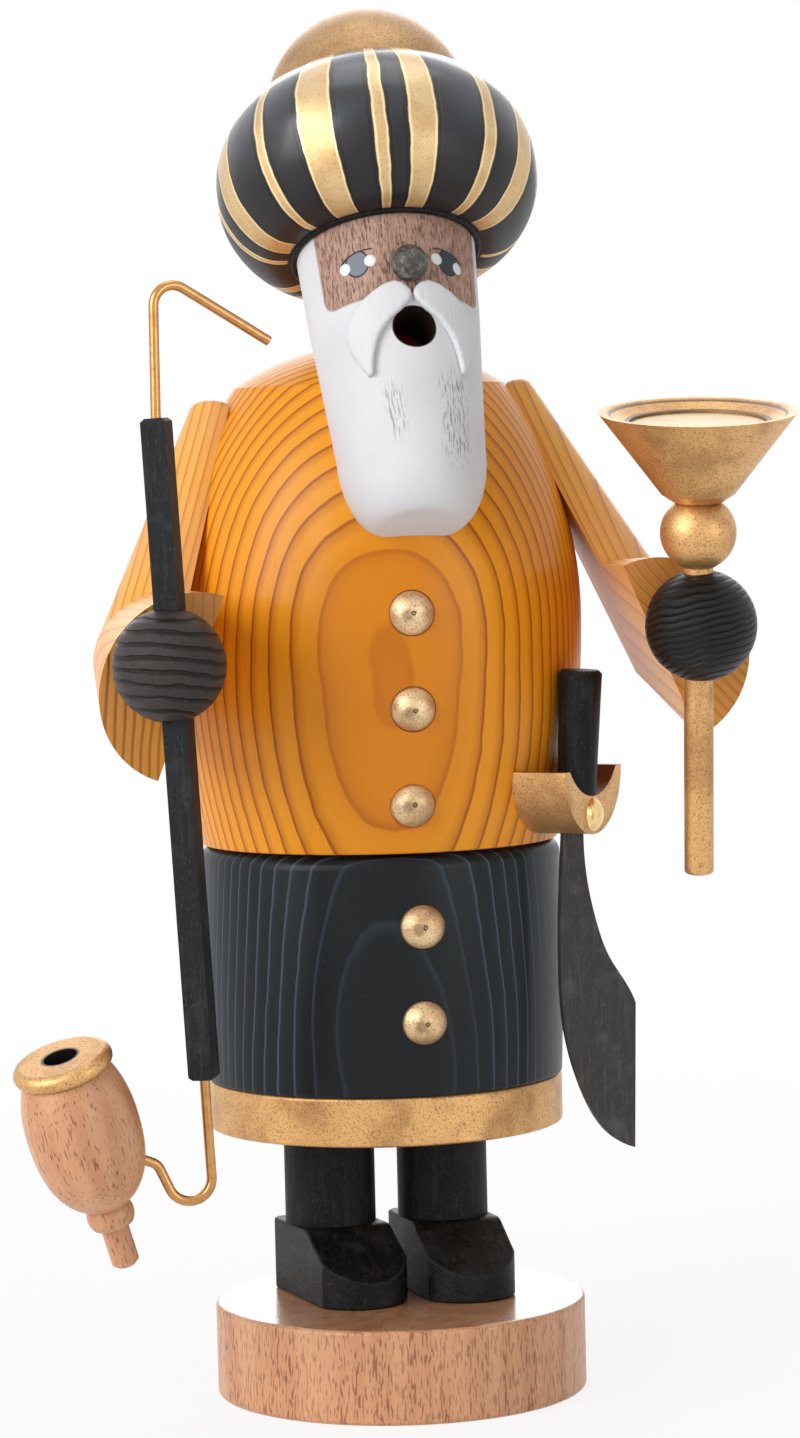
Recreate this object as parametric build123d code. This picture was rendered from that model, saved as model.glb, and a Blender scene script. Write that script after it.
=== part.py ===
from build123d import *

import os
from math import cos, degrees, radians, sin, sqrt, tan

# Turned wooden incense smoker: a bearded figure in a turban with pipe, goblet and sabre.
# Millimetres, +Z up. The origin is the centre of the base's underside. The figure faces -Y
# and its left hand is on +X. The upper half lifts off a spigot on the lower half and turns on it.

os.makedirs("parts", exist_ok=True)

# Base disc; the figure stands behind its centre so that the shoes fill it
base_radius = 28.0
base_thickness = 14.0
base_edge_radius = 0.7
figure_setback = 7.0

# Legs and shoes
leg_radius = 6.9
leg_spacing = 17.6
legs_offset = -0.3
leg_socket_depth = 5.0
shoe_width = 13.8
shoe_heel_reach = 7.7
shoe_toe_reach = 17.8
shoe_height = 10.9
shoe_toe_height = 4.0
shoe_toe_round = 4.6
shoe_instep_round = 3.0
shoe_heel_corner = 2.0
shoe_edge_radius = 0.4
right_shoe_turn = 10.5
left_shoe_turn = 5.6
foot_dowel_radius = 2.0
foot_dowel_in_base = 8.0
foot_dowel_in_leg = 8.0

# Gold hem and skirt
hem_radius = 27.0
hem_thickness = 7.3
hem_edge_radius = 0.5
hem_height = 39.7
skirt_height = 36.0
skirt_radius = 27.55
skirt_bottom_radius = 27.05
skirt_top_radius = 27.3
skirt_widest_height = 21.0
skirt_top_round = 2.4
skirt_bottom_round = 0.5

# Spigot that the upper half sits on, and the air bores beside the burner
spigot_height = 9.0
spigot_clearance = 0.3
spigot_edge_radius = 0.8
air_bore_radius = 3.2
air_bore_offset = 14.0

# Burner plate for the incense cone and the tack that holds it
plate_radius = 10.5
plate_thickness = 0.6
plate_rim_height = 2.0
tack_shank_radius = 0.9
tack_shank_length = 8.0
tack_head_radius = 2.4
tack_head_height = 1.0
tack_clearance = 0.4

# Coat: two arcs that meet at its widest height, under a shallow crown
waist_radius = 27.0
coat_radius = 31.45
coat_shoulder_radius = 20.5
coat_shoulder_height = 69.0
coat_widest_height = 34.0
coat_crown_height = 6.3
coat_bottom_round = 0.4
chamber_radius = 19.0
chamber_straight_height = 47.0
chamber_roof_height = 63.0
chamber_roof_radius = 8.0

# Domed buttons with a shank in a drilled hole
button_radius = 3.4
button_height = 2.2
button_sink = 0.3
button_shank_radius = 1.2
button_shank_length = 5.0
button_dimple_radius = 0.3
button_dimple_depth = 0.4
coat_button_heights = (7.2, 21.4, 35.4)
coat_button_bearing = -2.0
skirt_button_heights = (11.0, 25.2)
skirt_button_bearing = 0.7

# Head: a tapering cylinder that leans back, with its beard in front of the chest
head_lean = 25.0
head_reach = 14.3
head_seam_height = 171.1
head_seam_radius = 13.3
head_brow_radius = 12.6
head_brow_drop = 12.0
head_chin_radius = 10.9
head_length = 44.3
head_end_round = 5.5
head_end_round_length = 11.0
mouth_radius = 3.1
mouth_drop = 18.1
mouth_bore_length = 34.0
nose_radius = 2.7
nose_drop = 8.75
nose_stand_out = 1.2
head_dowel_radius = 2.5
head_dowel_drop = 32.0
head_dowel_in_head = 6.0
head_dowel_in_coat = 8.0

# Moustache: two crescents laid on the head
moustache_width = 9.2
moustache_height = 13.6
moustache_drop = 11.5
moustache_thickness = 1.0
moustache_gap = 0.25
moustache_outer_shares = (
    (0.0, 0.13),
    (0.2, 0.0),
    (0.62, 0.09),
    (0.94, 0.3),
    (1.0, 0.5),
    (0.9, 0.78),
    (0.73, 1.0),
)
moustache_inner_shares = ((0.73, 1.0), (0.67, 0.74), (0.56, 0.54), (0.33, 0.37), (0.1, 0.24), (0.0, 0.13))

# Turban: a squashed ball cut flat for the head and for its knob
turban_radius = 24.1
turban_half_height = 17.0
turban_seat_depth = 13.1
turban_knob_seat = 13.25
turban_upper_power = 2.0
turban_lower_power = 2.4
turban_turn_in = 11.5
turban_opening_radius = 14.3
turban_outline_steps = 5
turban_dowel_radius = 3.0
turban_dowel_length = 16.0
knob_radius = 15.26
knob_dowel_radius = 2.5
knob_dowel_length = 12.0

# Arms: half cones, flat towards the body, mitred at the elbow; both are the same turning
shoulder_half_width = 5.1
shoulder_depth = 4.4
shoulder_round = 1.6
upper_arm_length = 34.0
elbow_depth = 9.1
elbow_inner_reach = 11.3
elbow_outer_reach = 15.0
arm_bend = 65.0
forearm_length = 27.5
sleeve_half_width = 14.3
sleeve_depth = 13.1

# How each arm is set against the coat
right_shoulder_reach = 23.75
right_shoulder_height = 145.8
right_arm_splay = 18.8
right_arm_swing = 12.4
right_arm_turn = 3.3
right_arm_rise = 3.4
left_shoulder_reach = 22.65
left_shoulder_height = 146.9
left_arm_splay = 24.8
left_arm_swing = 13.3
left_arm_turn = 6.4
left_arm_rise = 4.6
shoulder_dowel_radius = 2.0
shoulder_dowel_drop = 9.0
shoulder_dowel_in_coat = 6.0
shoulder_dowel_in_arm = 3.0

# Hands: balls ground flat where they meet the sleeve ends
hand_radius = 8.1
hand_flat_depth = 1.5
right_hand_up = 3.6
right_hand_out = 5.65
left_hand_up = 3.05
left_hand_out = 5.95
wrist_dowel_radius = 1.5
wrist_dowel_in_hand = 3.4
wrist_dowel_in_arm = 6.0

# Pipe: a square stem held in the right hand
stem_side = 3.6
stem_lean = 2.7
stem_turn = -27.6
stem_offset = 0.65
stem_above_hand = 34.8
stem_below_hand = 58.9
stem_end_chamfer = 0.5
wire_radius = 0.72
wire_in_wood = 7.0
mouthpiece_rise = 20.7
mouthpiece_lean = -0.4
mouthpiece_bend = 2.9
mouthpiece_fall = 30.3
mouthpiece_run = 20.0
mouthpiece_yaw = 11.7
elbow_drop = 30.1
elbow_bend = 3.15
elbow_back = 8.45
elbow_rise = 18.3
elbow_knee_bend = 2.2
elbow_into_bowl_share = 0.5

# Pipe bowl: one turning with a collar and a drip peg, and a gold rim
bowl_lean = 17.2
bowl_tilt = 13.0
bowl_reach = 10.1
bowl_rise = 4.3
bowl_advance = 0.4
bowl_wire_height = 10.6
bowl_body_length = 21.05
bowl_neck_radius = 6.3
bowl_radius = 8.05
bowl_foot_radius = 3.0
bowl_widest_share = 0.53
bowl_collar_radius = 3.45
bowl_collar_height = 3.0
bowl_peg_radius = 2.0
bowl_peg_length = 6.6
bowl_peg_round = 0.5
bowl_rim_radius = 7.2
bowl_rim_height = 2.6
bowl_bore_radius = 2.45
bowl_bore_depth = 11.0

# Goblet in the left hand: cup, bead and rod on one line
goblet_tilt = 9.3
goblet_lean = -1.7
goblet_offset = -0.4
bead_radius = 5.5
cup_foot_lift = 4.6
cup_foot_radius = 3.75
cup_waist_radius = 5.35
cup_waist_height = 1.1
cup_radius = 14.3
cup_height = 12.9
cup_lip_width = 0.9
cup_dish_depth = 1.3
cup_dish_radius = 10.4
cup_step_depth = 0.4
cup_floor_radius = 9.8
rod_radius = 2.15
rod_in_cup = 5.0
rod_below_hand = 36.9
rod_end_round = 0.5

# Sabre on the left hip
sabre_bearing = 50.0
guard_radius = 9.8
guard_face_reach = 36.2
guard_top_height = 94.2
guard_scoop_radius = 9.85
guard_scoop_lift = 5.75
hilt_reach = 33.4
hilt_outward_lean = 3.2
hilt_length = 18.8
hilt_top_radius = 3.25
hilt_bottom_radius = 2.75
hilt_end_round = 0.5
sabre_nail_radius = 1.0
sabre_nail_length = 13.0
sabre_nail_head_radius = 2.6
sabre_nail_head_height = 1.3
sabre_nail_drop = 6.8
blade_thickness = 1.8
blade_tang_rise = 1.7
blade_length = 47.4
blade_neck_offset = 2.4
blade_width = 10.6
blade_back_shares = (
    (0.0, 0.0),
    (-0.05, 0.17),
    (-0.08, 0.4),
    (-0.04, 0.6),
    (0.2, 0.81),
    (0.64, 0.965),
    (0.95, 1.0),
)
blade_edge_shares = ((1.0, 0.54), (0.9, 0.49), (0.64, 0.395), (0.45, 0.275), (0.335, 0.15), (0.29, 0.0))

# One overrun for every cut that has to pass right through
overrun = 5.0

# Heights that follow from the sizes above
base_top = base_thickness
leg_bottom = base_top + shoe_height
skirt_bottom = hem_height + hem_thickness
waist_height = skirt_bottom + skirt_height
spigot_radius = chamber_radius - spigot_clearance
spigot_top = waist_height + spigot_height

figure_axis = Pos(0, figure_setback, 0)


def arc_radius(half_chord, drop):
    """Radius of the circle that falls away by drop at half_chord from its top."""
    return (half_chord ** 2 + drop ** 2) / (2 * drop)


def arc_drop(radius, offset):
    """How far a circle of this radius falls away at offset from its top."""
    return radius - sqrt(radius ** 2 - offset ** 2)


def turned(*outline):
    """Solid turned about the Z axis from a closed outline of radius and height."""
    return revolve(Plane.XZ * make_face(Curve() + [*outline]), Axis.Z)


def rod(plane, radius, start, end):
    """Round rod along a plane's normal, between two distances from its origin."""
    length = end - start
    blank = Cylinder(radius, length, align=(Align.CENTER, Align.CENTER, Align.MIN))
    return plane * Pos(0, 0, start) * blank


def ball(centre, radius):
    """Ball at a point."""
    return Pos(*centre) * Sphere(radius)


def in_wood(plane, x, y, z):
    """Point of a plane's own frame, in the part's frame."""
    return plane.from_local_coords(Vector(x, y, z))


# Coat arcs, shared by the coat, its buttons and what is cut to fit it
coat_lower_arc = arc_radius(coat_widest_height, coat_radius - waist_radius)
coat_upper_arc = arc_radius(coat_shoulder_height - coat_widest_height, coat_radius - coat_shoulder_radius)
skirt_arc = arc_radius(skirt_widest_height, skirt_radius - skirt_bottom_radius)

# Head frame: its origin is the seam under the turban, Z runs up the head, -Y is its front
head_frame = Plane(
    origin=(0, figure_setback - head_reach, head_seam_height),
    x_dir=(1, 0, 0),
    z_dir=(0, sin(radians(head_lean)), cos(radians(head_lean))),
)


def coat_radius_at(height):
    """Coat radius at a height above the waist."""
    offset = height - coat_widest_height
    arc = coat_lower_arc if offset < 0 else coat_upper_arc
    return coat_radius - arc_drop(arc, abs(offset))


def coat_slope_at(height):
    """Angle in degrees by which the coat's face looks up at a height above the waist."""
    offset = height - coat_widest_height
    arc = coat_lower_arc if offset < 0 else coat_upper_arc
    return degrees(offset / arc)


def coat_blank():
    """Outer form of the coat, without its chamber."""
    lower_middle = coat_widest_height / 2
    upper_middle = (coat_widest_height + coat_shoulder_height) / 2
    crown_arc = arc_radius(coat_shoulder_radius, coat_crown_height)
    crown_top = coat_shoulder_height + coat_crown_height
    crown_middle = coat_shoulder_radius / 2
    lower = ThreePointArc(
        (waist_radius, 0),
        (coat_radius_at(lower_middle), lower_middle),
        (coat_radius, coat_widest_height),
    )
    upper = ThreePointArc(
        lower @ 1,
        (coat_radius_at(upper_middle), upper_middle),
        (coat_shoulder_radius, coat_shoulder_height),
    )
    crown = ThreePointArc(
        upper @ 1,
        (crown_middle, crown_top - arc_drop(crown_arc, crown_middle)),
        (0, crown_top),
    )
    blank = turned(Line((0, 0), lower @ 0), lower, upper, crown, Line(crown @ 1, (0, 0)))
    rim = blank.edges().filter_by(GeomType.CIRCLE).sort_by(Axis.Z)[0]
    return figure_axis * Pos(0, 0, waist_height) * fillet(rim, coat_bottom_round)


def chamber():
    """Smoke chamber inside the coat, open at the waist."""
    hollow = turned(
        Polyline(
            (0, -overrun),
            (chamber_radius, -overrun),
            (chamber_radius, chamber_straight_height),
            (chamber_roof_radius, chamber_roof_height),
            (0, chamber_roof_height),
            (0, -overrun),
        )
    )
    return figure_axis * Pos(0, 0, waist_height) * hollow


def radial_plane(bearing, reach, height, tilt=0.0):
    """Plane that looks away from the figure's axis; bearing 0 is the front, +90 its left side."""
    turn = radians(bearing)
    rise = radians(tilt)
    out = Vector(sin(turn) * cos(rise), -cos(turn) * cos(rise), sin(rise))
    foot = Vector(sin(turn) * reach, figure_setback - cos(turn) * reach, height)
    return Plane(origin=foot, x_dir=(cos(turn), sin(turn), 0), z_dir=out)


def button(plane):
    """Domed button on a shank; its flat back lies in the plane."""
    dome_arc = arc_radius(button_radius, button_height)
    middle = button_radius / 2
    dome = ThreePointArc(
        (button_radius, 0),
        (middle, button_height - arc_drop(dome_arc, middle)),
        (0, button_height),
    )
    cap = plane * turned(Line((0, 0), dome @ 0), dome, Line(dome @ 1, (0, 0)))
    dimple = rod(plane, button_dimple_radius, button_height - button_dimple_depth, button_height + overrun)
    shank = rod(plane, button_shank_radius, -button_shank_length, 0)
    return (cap - dimple) + shank


def button_seat(plane):
    """Drilled hole and spot-faced seat for a button."""
    return rod(plane, button_radius, 0, overrun) + rod(plane, button_shank_radius, -button_shank_length, 0)


def coat_button_planes():
    """Seats of the coat's buttons, square to its curved face."""
    planes = []
    for height in coat_button_heights:
        reach = coat_radius_at(height) - button_sink
        slope = coat_slope_at(height)
        planes.append(radial_plane(coat_button_bearing, reach, waist_height + height, slope))
    return planes


def skirt_button_planes():
    """Seats of the skirt's buttons."""
    planes = []
    for height in skirt_button_heights:
        offset = height - skirt_widest_height
        reach = skirt_radius - arc_drop(skirt_arc, offset) - button_sink
        slope = degrees(offset / skirt_arc)
        planes.append(radial_plane(skirt_button_bearing, reach, skirt_bottom + height, slope))
    return planes


def leg_places():
    """Axes of the two legs: the figure's right leg first."""
    half = leg_spacing / 2
    return {
        "right": Pos(legs_offset - half, figure_setback, 0),
        "left": Pos(legs_offset + half, figure_setback, 0),
    }


def foot_dowel(place):
    """Dowel that ties a leg, its shoe and the base together."""
    bottom = base_top - foot_dowel_in_base
    return place * rod(Plane.XY, foot_dowel_radius, bottom, leg_bottom + foot_dowel_in_leg)


def base_disc():
    disc = Cylinder(base_radius, base_thickness, align=(Align.CENTER, Align.CENTER, Align.MIN))
    disc = fillet(disc.edges().filter_by(GeomType.CIRCLE), base_edge_radius)
    for place in leg_places().values():
        disc -= foot_dowel(place)
    return disc


def leg(place):
    blank = rod(Plane.XY, leg_radius, leg_bottom, skirt_bottom + leg_socket_depth)
    return place * blank - foot_dowel(place)


def shoe(place, turn):
    """Block with a level top under the leg, a sloping instep and a round toe."""
    half = shoe_width / 2
    toe_start = shoe_toe_round - shoe_toe_reach
    side = make_face(
        Polyline(
            (shoe_heel_reach, 0),
            (shoe_heel_reach, shoe_height),
            (-leg_radius, shoe_height),
            (-shoe_toe_reach, shoe_toe_height),
            (-shoe_toe_reach, 0),
            (shoe_heel_reach, 0),
        )
    )
    block = extrude(Plane.YZ * side, half, both=True)
    instep = block.edges().filter_by(Axis.X).sort_by(Axis.Z)[-2:].sort_by(Axis.Y)[0]
    block = fillet(instep, shoe_instep_round)
    sides = Polyline(
        (-half, toe_start),
        (-half, shoe_heel_reach),
        (half, shoe_heel_reach),
        (half, toe_start),
    )
    toe = ThreePointArc((half, toe_start), (0, -shoe_toe_reach), (-half, toe_start))
    block &= extrude(make_face(Curve() + [sides, toe]), shoe_height)
    heel_corners = block.edges().filter_by(Axis.Z).sort_by(Axis.Y)[-2:]
    block = fillet(heel_corners, shoe_heel_corner)
    block = fillet(block.edges(), shoe_edge_radius)
    return place * Pos(0, 0, base_top) * Rot(0, 0, turn) * block - foot_dowel(place)


def air_bores():
    """Bores that let air up to the burner, in front of and behind the figure's axis."""
    bores = Part()
    for side in (-1, 1):
        bore = rod(Plane.XY, air_bore_radius, hem_height - overrun, spigot_top + overrun)
        bores += figure_axis * Pos(0, side * air_bore_offset, 0) * bore
    return bores


def leg_sockets():
    """Holes for both legs, up through the hem and into the skirt."""
    holes = Part()
    for place in leg_places().values():
        holes += place * rod(Plane.XY, leg_radius, base_top, skirt_bottom + leg_socket_depth)
    return holes


def hem_disc():
    disc = figure_axis * rod(Plane.XY, hem_radius, hem_height, skirt_bottom)
    disc = fillet(disc.edges().filter_by(GeomType.CIRCLE), hem_edge_radius)
    return disc - leg_sockets() - air_bores()


def tack_hole():
    line = figure_axis * Pos(0, 0, spigot_top)
    return line * rod(Plane.XY, tack_shank_radius, plate_thickness - tack_shank_length, overrun)


def lower_body():
    """Skirt with the spigot that carries the upper half."""
    side = ThreePointArc(
        (skirt_bottom_radius, 0),
        (skirt_radius, skirt_widest_height),
        (skirt_top_radius, skirt_height),
    )
    top = Line(side @ 1, (0, skirt_height))
    blank = turned(Line((0, 0), side @ 0), side, top, Line((0, skirt_height), (0, 0)))
    rims = blank.edges().filter_by(GeomType.CIRCLE).sort_by(Axis.Z)
    blank = fillet(rims[-1], skirt_top_round)
    rims = blank.edges().filter_by(GeomType.CIRCLE).sort_by(Axis.Z)
    blank = fillet(rims[0], skirt_bottom_round)
    spigot = rod(Plane.XY, spigot_radius, 0, skirt_height + spigot_height)
    spigot = fillet(spigot.edges().filter_by(GeomType.CIRCLE).sort_by(Axis.Z)[-1], spigot_edge_radius)
    body = figure_axis * Pos(0, 0, skirt_bottom) * (blank + spigot)
    body = body - leg_sockets() - air_bores() - tack_hole()
    for plane in skirt_button_planes():
        body -= button_seat(plane)
    return body


def burner_plate():
    """Shallow metal dish with a hole for its tack."""
    hole = tack_shank_radius + tack_clearance
    inner = plate_radius - plate_thickness
    dish = turned(
        Polyline(
            (hole, 0),
            (plate_radius, 0),
            (plate_radius, plate_rim_height),
            (inner, plate_rim_height),
            (inner, plate_thickness),
            (hole, plate_thickness),
            (hole, 0),
        )
    )
    return figure_axis * Pos(0, 0, spigot_top) * dish


def burner_tack():
    head_arc = arc_radius(tack_head_radius, tack_head_height)
    middle = tack_head_radius / 2
    dome = ThreePointArc(
        (tack_head_radius, 0),
        (middle, tack_head_height - arc_drop(head_arc, middle)),
        (0, tack_head_height),
    )
    head = turned(Line((0, 0), dome @ 0), dome, Line(dome @ 1, (0, 0)))
    shank = rod(Plane.XY, tack_shank_radius, -tack_shank_length, 0)
    return figure_axis * Pos(0, 0, spigot_top + plate_thickness) * (head + shank)


def head_blank(skin=0.0):
    """Outer form of the head; skin thickens it for the moustache."""
    round_start = head_length - head_end_round_length
    chin = head_chin_radius + skin
    brow = head_brow_radius + skin
    seam = head_seam_radius + skin
    end_radius = chin - head_end_round
    blank = turned(
        Polyline((0, 0), (seam, 0), (brow, -head_brow_drop), (chin, -round_start)),
        EllipticalCenterArc(
            (end_radius, -round_start), head_end_round, head_end_round_length, start_angle=-90, arc_size=90
        ),
        Polyline((end_radius, -head_length), (0, -head_length), (0, 0)),
    )
    return head_frame * blank


def mouth_bore():
    """Smoke bore from the mouth through the head into the chamber."""
    mouth = in_wood(head_frame, 0, 0, -mouth_drop)
    line = Plane(origin=mouth, x_dir=(1, 0, 0), z_dir=-head_frame.y_dir)
    return rod(line, mouth_radius, head_brow_radius - mouth_bore_length, head_brow_radius + overrun)


def nose():
    stand = head_brow_radius + nose_stand_out
    return ball(in_wood(head_frame, 0, -stand, -nose_drop), nose_radius)


def head_dowel():
    """Dowel square to the head's length that ties it to the coat."""
    axis_point = in_wood(head_frame, 0, 0, -head_dowel_drop)
    line = Plane(origin=axis_point, x_dir=(1, 0, 0), z_dir=head_frame.y_dir)
    return rod(line, head_dowel_radius, -head_dowel_in_head, head_dowel_in_coat)


def turban_dowel():
    half = turban_dowel_length / 2
    return rod(head_frame, turban_dowel_radius, -half, half)


def knob_dowel():
    seat = turban_seat_depth + turban_knob_seat
    half = knob_dowel_length / 2
    return rod(head_frame, knob_dowel_radius, seat - half, seat + half)


def head():
    """Head and beard in one, saddled to the coat behind the beard."""
    blank = head_blank() - coat_blank()
    return blank - mouth_bore() - nose() - head_dowel() - turban_dowel()


def moustache(side):
    """One crescent of the moustache; side +1 is the figure's left."""

    def outline(shares):
        points = []
        for across, down in shares:
            reach = moustache_gap + across * (moustache_width - moustache_gap)
            points.append((side * reach, -(moustache_drop + down * moustache_height)))
        return points

    edges = [Spline(*outline(moustache_outer_shares)), Spline(*outline(moustache_inner_shares))]
    face = head_frame * Plane.XZ * make_face(Curve() + edges)
    prism = extrude(face, head_seam_radius + overrun, dir=-head_frame.y_dir)
    lock = prism & head_blank(moustache_thickness)
    return lock - head_blank() - mouth_bore() - nose()


def turban_radius_at(height):
    """Turban radius at a height from its widest circle."""
    power = turban_upper_power if height > 0 else turban_lower_power
    share = abs(height) / turban_half_height
    return turban_radius * (1 - share ** power) ** (1 / power)


def turban():
    """Ball with a flat top for the knob and an underside that turns in to the head."""
    points = [(turban_opening_radius, -turban_seat_depth)]
    for step in range(turban_outline_steps):
        height = turban_turn_in * (step / turban_outline_steps - 1)
        points.append((turban_radius_at(height), height))
    for step in range(turban_outline_steps + 1):
        height = turban_knob_seat * step / turban_outline_steps
        points.append((turban_radius_at(height), height))
    side = Spline(*points)
    blank = turned(
        Line((0, -turban_seat_depth), side @ 0),
        side,
        Line(side @ 1, (0, turban_knob_seat)),
        Line((0, turban_knob_seat), (0, -turban_seat_depth)),
    )
    return head_frame * Pos(0, 0, turban_seat_depth) * blank - turban_dowel() - knob_dowel()


def turban_knob():
    """Cap of a ball on the turban's upper flat, as wide as the turban there."""
    seat_radius = turban_radius_at(turban_knob_seat)
    centre_drop = sqrt(knob_radius ** 2 - seat_radius ** 2)
    seat = turban_seat_depth + turban_knob_seat
    whole = head_frame * Pos(0, 0, seat - centre_drop) * Sphere(knob_radius)
    keep = head_frame * Pos(0, 0, seat) * Box(
        4 * knob_radius, 4 * knob_radius, 2 * knob_radius, align=(Align.CENTER, Align.CENTER, Align.MIN)
    )
    return (whole & keep) - knob_dowel()


class Arm:
    """Frames and pieces of one arm; side +1 is the figure's left."""

    def __init__(self, side, shoulder, splay, swing, turn, rise, hand_offset):
        lean = radians(splay)
        drop = radians(swing)
        reach = radians(swing + arm_bend)
        down = Vector(side * sin(lean), 0, -cos(lean)).rotate(Axis.Z, -side * turn)
        front = Vector(0, -1, 0).rotate(Axis.Z, -side * turn)
        self.out = Vector(side * cos(lean), 0, sin(lean)).rotate(Axis.Z, -side * turn)
        self.upper = down * cos(drop) + front * sin(drop)
        self.fore = down * cos(reach) + front * sin(reach)
        self.mitre = (self.upper + self.fore).normalized()
        self.shoulder = Vector(side * shoulder[0], figure_setback, shoulder[1])
        self.top = self.shoulder - self.upper * rise
        self.elbow = self.shoulder + self.upper * upper_arm_length
        self.wrist = self.elbow + self.fore * forearm_length
        up = self.cross_direction(self.fore)
        seat = self.wrist + up * hand_offset[0] + self.out * hand_offset[1]
        self.hand_seat = Plane(origin=seat, x_dir=up, z_dir=self.fore)
        self.hand = seat + self.fore * (hand_radius - hand_flat_depth)

    def cross_direction(self, along):
        """Direction in the arm's flat side, square to a given one and pointing up."""
        cross = along.cross(self.out).normalized()
        return cross if cross.Z > 0 else cross * -1

    def section(self, origin, along, inner, outer, depth):
        """Half ellipse with its flat on the side towards the body; inner is its reach upwards."""
        flat = self.cross_direction(along)
        middle = origin + flat * ((inner - outer) / 2)
        plane = Plane(origin=middle, x_dir=flat, z_dir=flat.cross(self.out))
        bulge = EllipticalCenterArc((0, 0), (inner + outer) / 2, depth, start_angle=0, arc_size=180)
        return plane * make_face(Curve() + [bulge, Line(bulge @ 1, bulge @ 0)])

    def elbow_section(self):
        return self.section(self.elbow, self.mitre, elbow_inner_reach, elbow_outer_reach, elbow_depth)

    def upper_arm(self):
        top = self.section(self.top, self.upper, shoulder_half_width, shoulder_half_width, shoulder_depth)
        blank = loft([top, self.elbow_section()], ruled=True)
        end = blank.faces().sort_by(Axis.Z)[-1]
        return fillet(end.edges(), shoulder_round)

    def forearm(self):
        end = self.section(self.wrist, self.fore, sleeve_half_width, sleeve_half_width, sleeve_depth)
        return loft([self.elbow_section(), end], ruled=True) - self.wrist_dowel()

    def shoulder_dowel(self):
        point = self.shoulder + self.upper * shoulder_dowel_drop
        plane = Plane(origin=point, x_dir=self.upper, z_dir=self.out)
        return rod(plane, shoulder_dowel_radius, -shoulder_dowel_in_coat, shoulder_dowel_in_arm)

    def wrist_dowel(self):
        return rod(self.hand_seat, wrist_dowel_radius, -wrist_dowel_in_arm, wrist_dowel_in_hand)

    def hand_blank(self):
        whole = ball(self.hand, hand_radius)
        size = 4 * hand_radius
        keep = self.hand_seat * Box(size, size, size, align=(Align.CENTER, Align.CENTER, Align.MIN))
        return (whole & keep) - self.wrist_dowel()


right_arm = Arm(
    -1,
    (right_shoulder_reach, right_shoulder_height),
    right_arm_splay,
    right_arm_swing,
    right_arm_turn,
    right_arm_rise,
    (right_hand_up, right_hand_out),
)
left_arm = Arm(
    1,
    (left_shoulder_reach, left_shoulder_height),
    left_arm_splay,
    left_arm_swing,
    left_arm_turn,
    left_arm_rise,
    (left_hand_up, left_hand_out),
)
arms = {"right": right_arm, "left": left_arm}

# Stem frame: through the right hand, Z up the stem
stem_up = Vector(-sin(radians(stem_lean)), 0, cos(radians(stem_lean)))
stem_middle = right_arm.hand + Vector(stem_offset, 0, 0)
stem_frame = Plane(origin=stem_middle, x_dir=Vector(0, 1, 0).cross(stem_up), z_dir=stem_up)
stem_top = stem_middle + stem_up * stem_above_hand
stem_bottom = stem_middle - stem_up * stem_below_hand

# Bowl frame: its origin is on the bowl's axis at the foot of the body, Z points at the rim
elbow_corner = stem_bottom - stem_up * elbow_drop
elbow_knee = elbow_corner + Vector(-elbow_back, 0, elbow_rise)
bowl_up = Vector(-tan(radians(bowl_lean)), -tan(radians(bowl_tilt)), 1).normalized()
bowl_middle = elbow_knee + Vector(-bowl_reach, -bowl_advance, bowl_rise)
bowl_frame = Plane(
    origin=bowl_middle - bowl_up * bowl_wire_height,
    x_dir=Vector(0, 1, 0).cross(bowl_up),
    z_dir=bowl_up,
)

# Goblet frame: through the left hand, Z points at the cup
goblet_pitch = radians(goblet_tilt)
goblet_up = Vector(sin(radians(goblet_lean)), -sin(goblet_pitch), cos(goblet_pitch)).normalized()
goblet_middle = left_arm.hand + Vector(goblet_offset, 0, 0)
goblet_frame = Plane(origin=goblet_middle, x_dir=Vector(0, 1, 0).cross(goblet_up), z_dir=goblet_up)
bead_lift = hand_radius + bead_radius
cup_foot = bead_lift + cup_foot_lift


def upper_body():
    """Hollow coat with its smoke chamber, mouth bore, button seats and arm seats."""
    coat = coat_blank() - chamber() - mouth_bore() - head_dowel()
    for plane in coat_button_planes():
        coat -= button_seat(plane)
    for arm in arms.values():
        coat = coat - arm.upper_arm() - arm.shoulder_dowel()
    return coat - sabre_nail()


def upper_arm(arm):
    return arm.upper_arm() - arm.shoulder_dowel()


def wire(points, radii):
    """Round wire along straight runs joined by bends."""
    path = FilletPolyline(*points, radius=radii)
    start = Plane(origin=path @ 0, z_dir=path % 0)
    return sweep(start * Circle(wire_radius), path=path)


def pipe_mouthpiece():
    """Wire that rises from the stem and bends down towards the mouth."""
    lean = radians(mouthpiece_lean)
    fall = radians(mouthpiece_fall)
    yaw = radians(mouthpiece_yaw)
    rise = Vector(-sin(lean), 0, cos(lean))
    run = Vector(cos(fall) * cos(yaw), cos(fall) * sin(yaw), -sin(fall))
    corner = stem_top + rise * mouthpiece_rise
    return wire([stem_top - rise * wire_in_wood, corner, corner + run * mouthpiece_run], [mouthpiece_bend])


def pipe_elbow():
    """Wire that leaves the stem downwards, turns up and enters the bowl's side."""
    end = elbow_knee + (bowl_middle - elbow_knee) * elbow_into_bowl_share
    points = [stem_bottom + stem_up * wire_in_wood, elbow_corner, elbow_knee, end]
    return wire(points, [elbow_bend, elbow_knee_bend])


def stem_blank():
    length = stem_above_hand + stem_below_hand
    stick = Box(stem_side, stem_side, length, align=(Align.CENTER, Align.CENTER, Align.MIN))
    ends = stick.edges().filter_by(Axis.Z, reverse=True)
    stick = chamfer(ends, stem_end_chamfer)
    return stem_frame * Pos(0, 0, -stem_below_hand) * Rot(0, 0, stem_turn) * stick


def pipe_stem():
    return stem_blank() - pipe_mouthpiece() - pipe_elbow()


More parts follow.
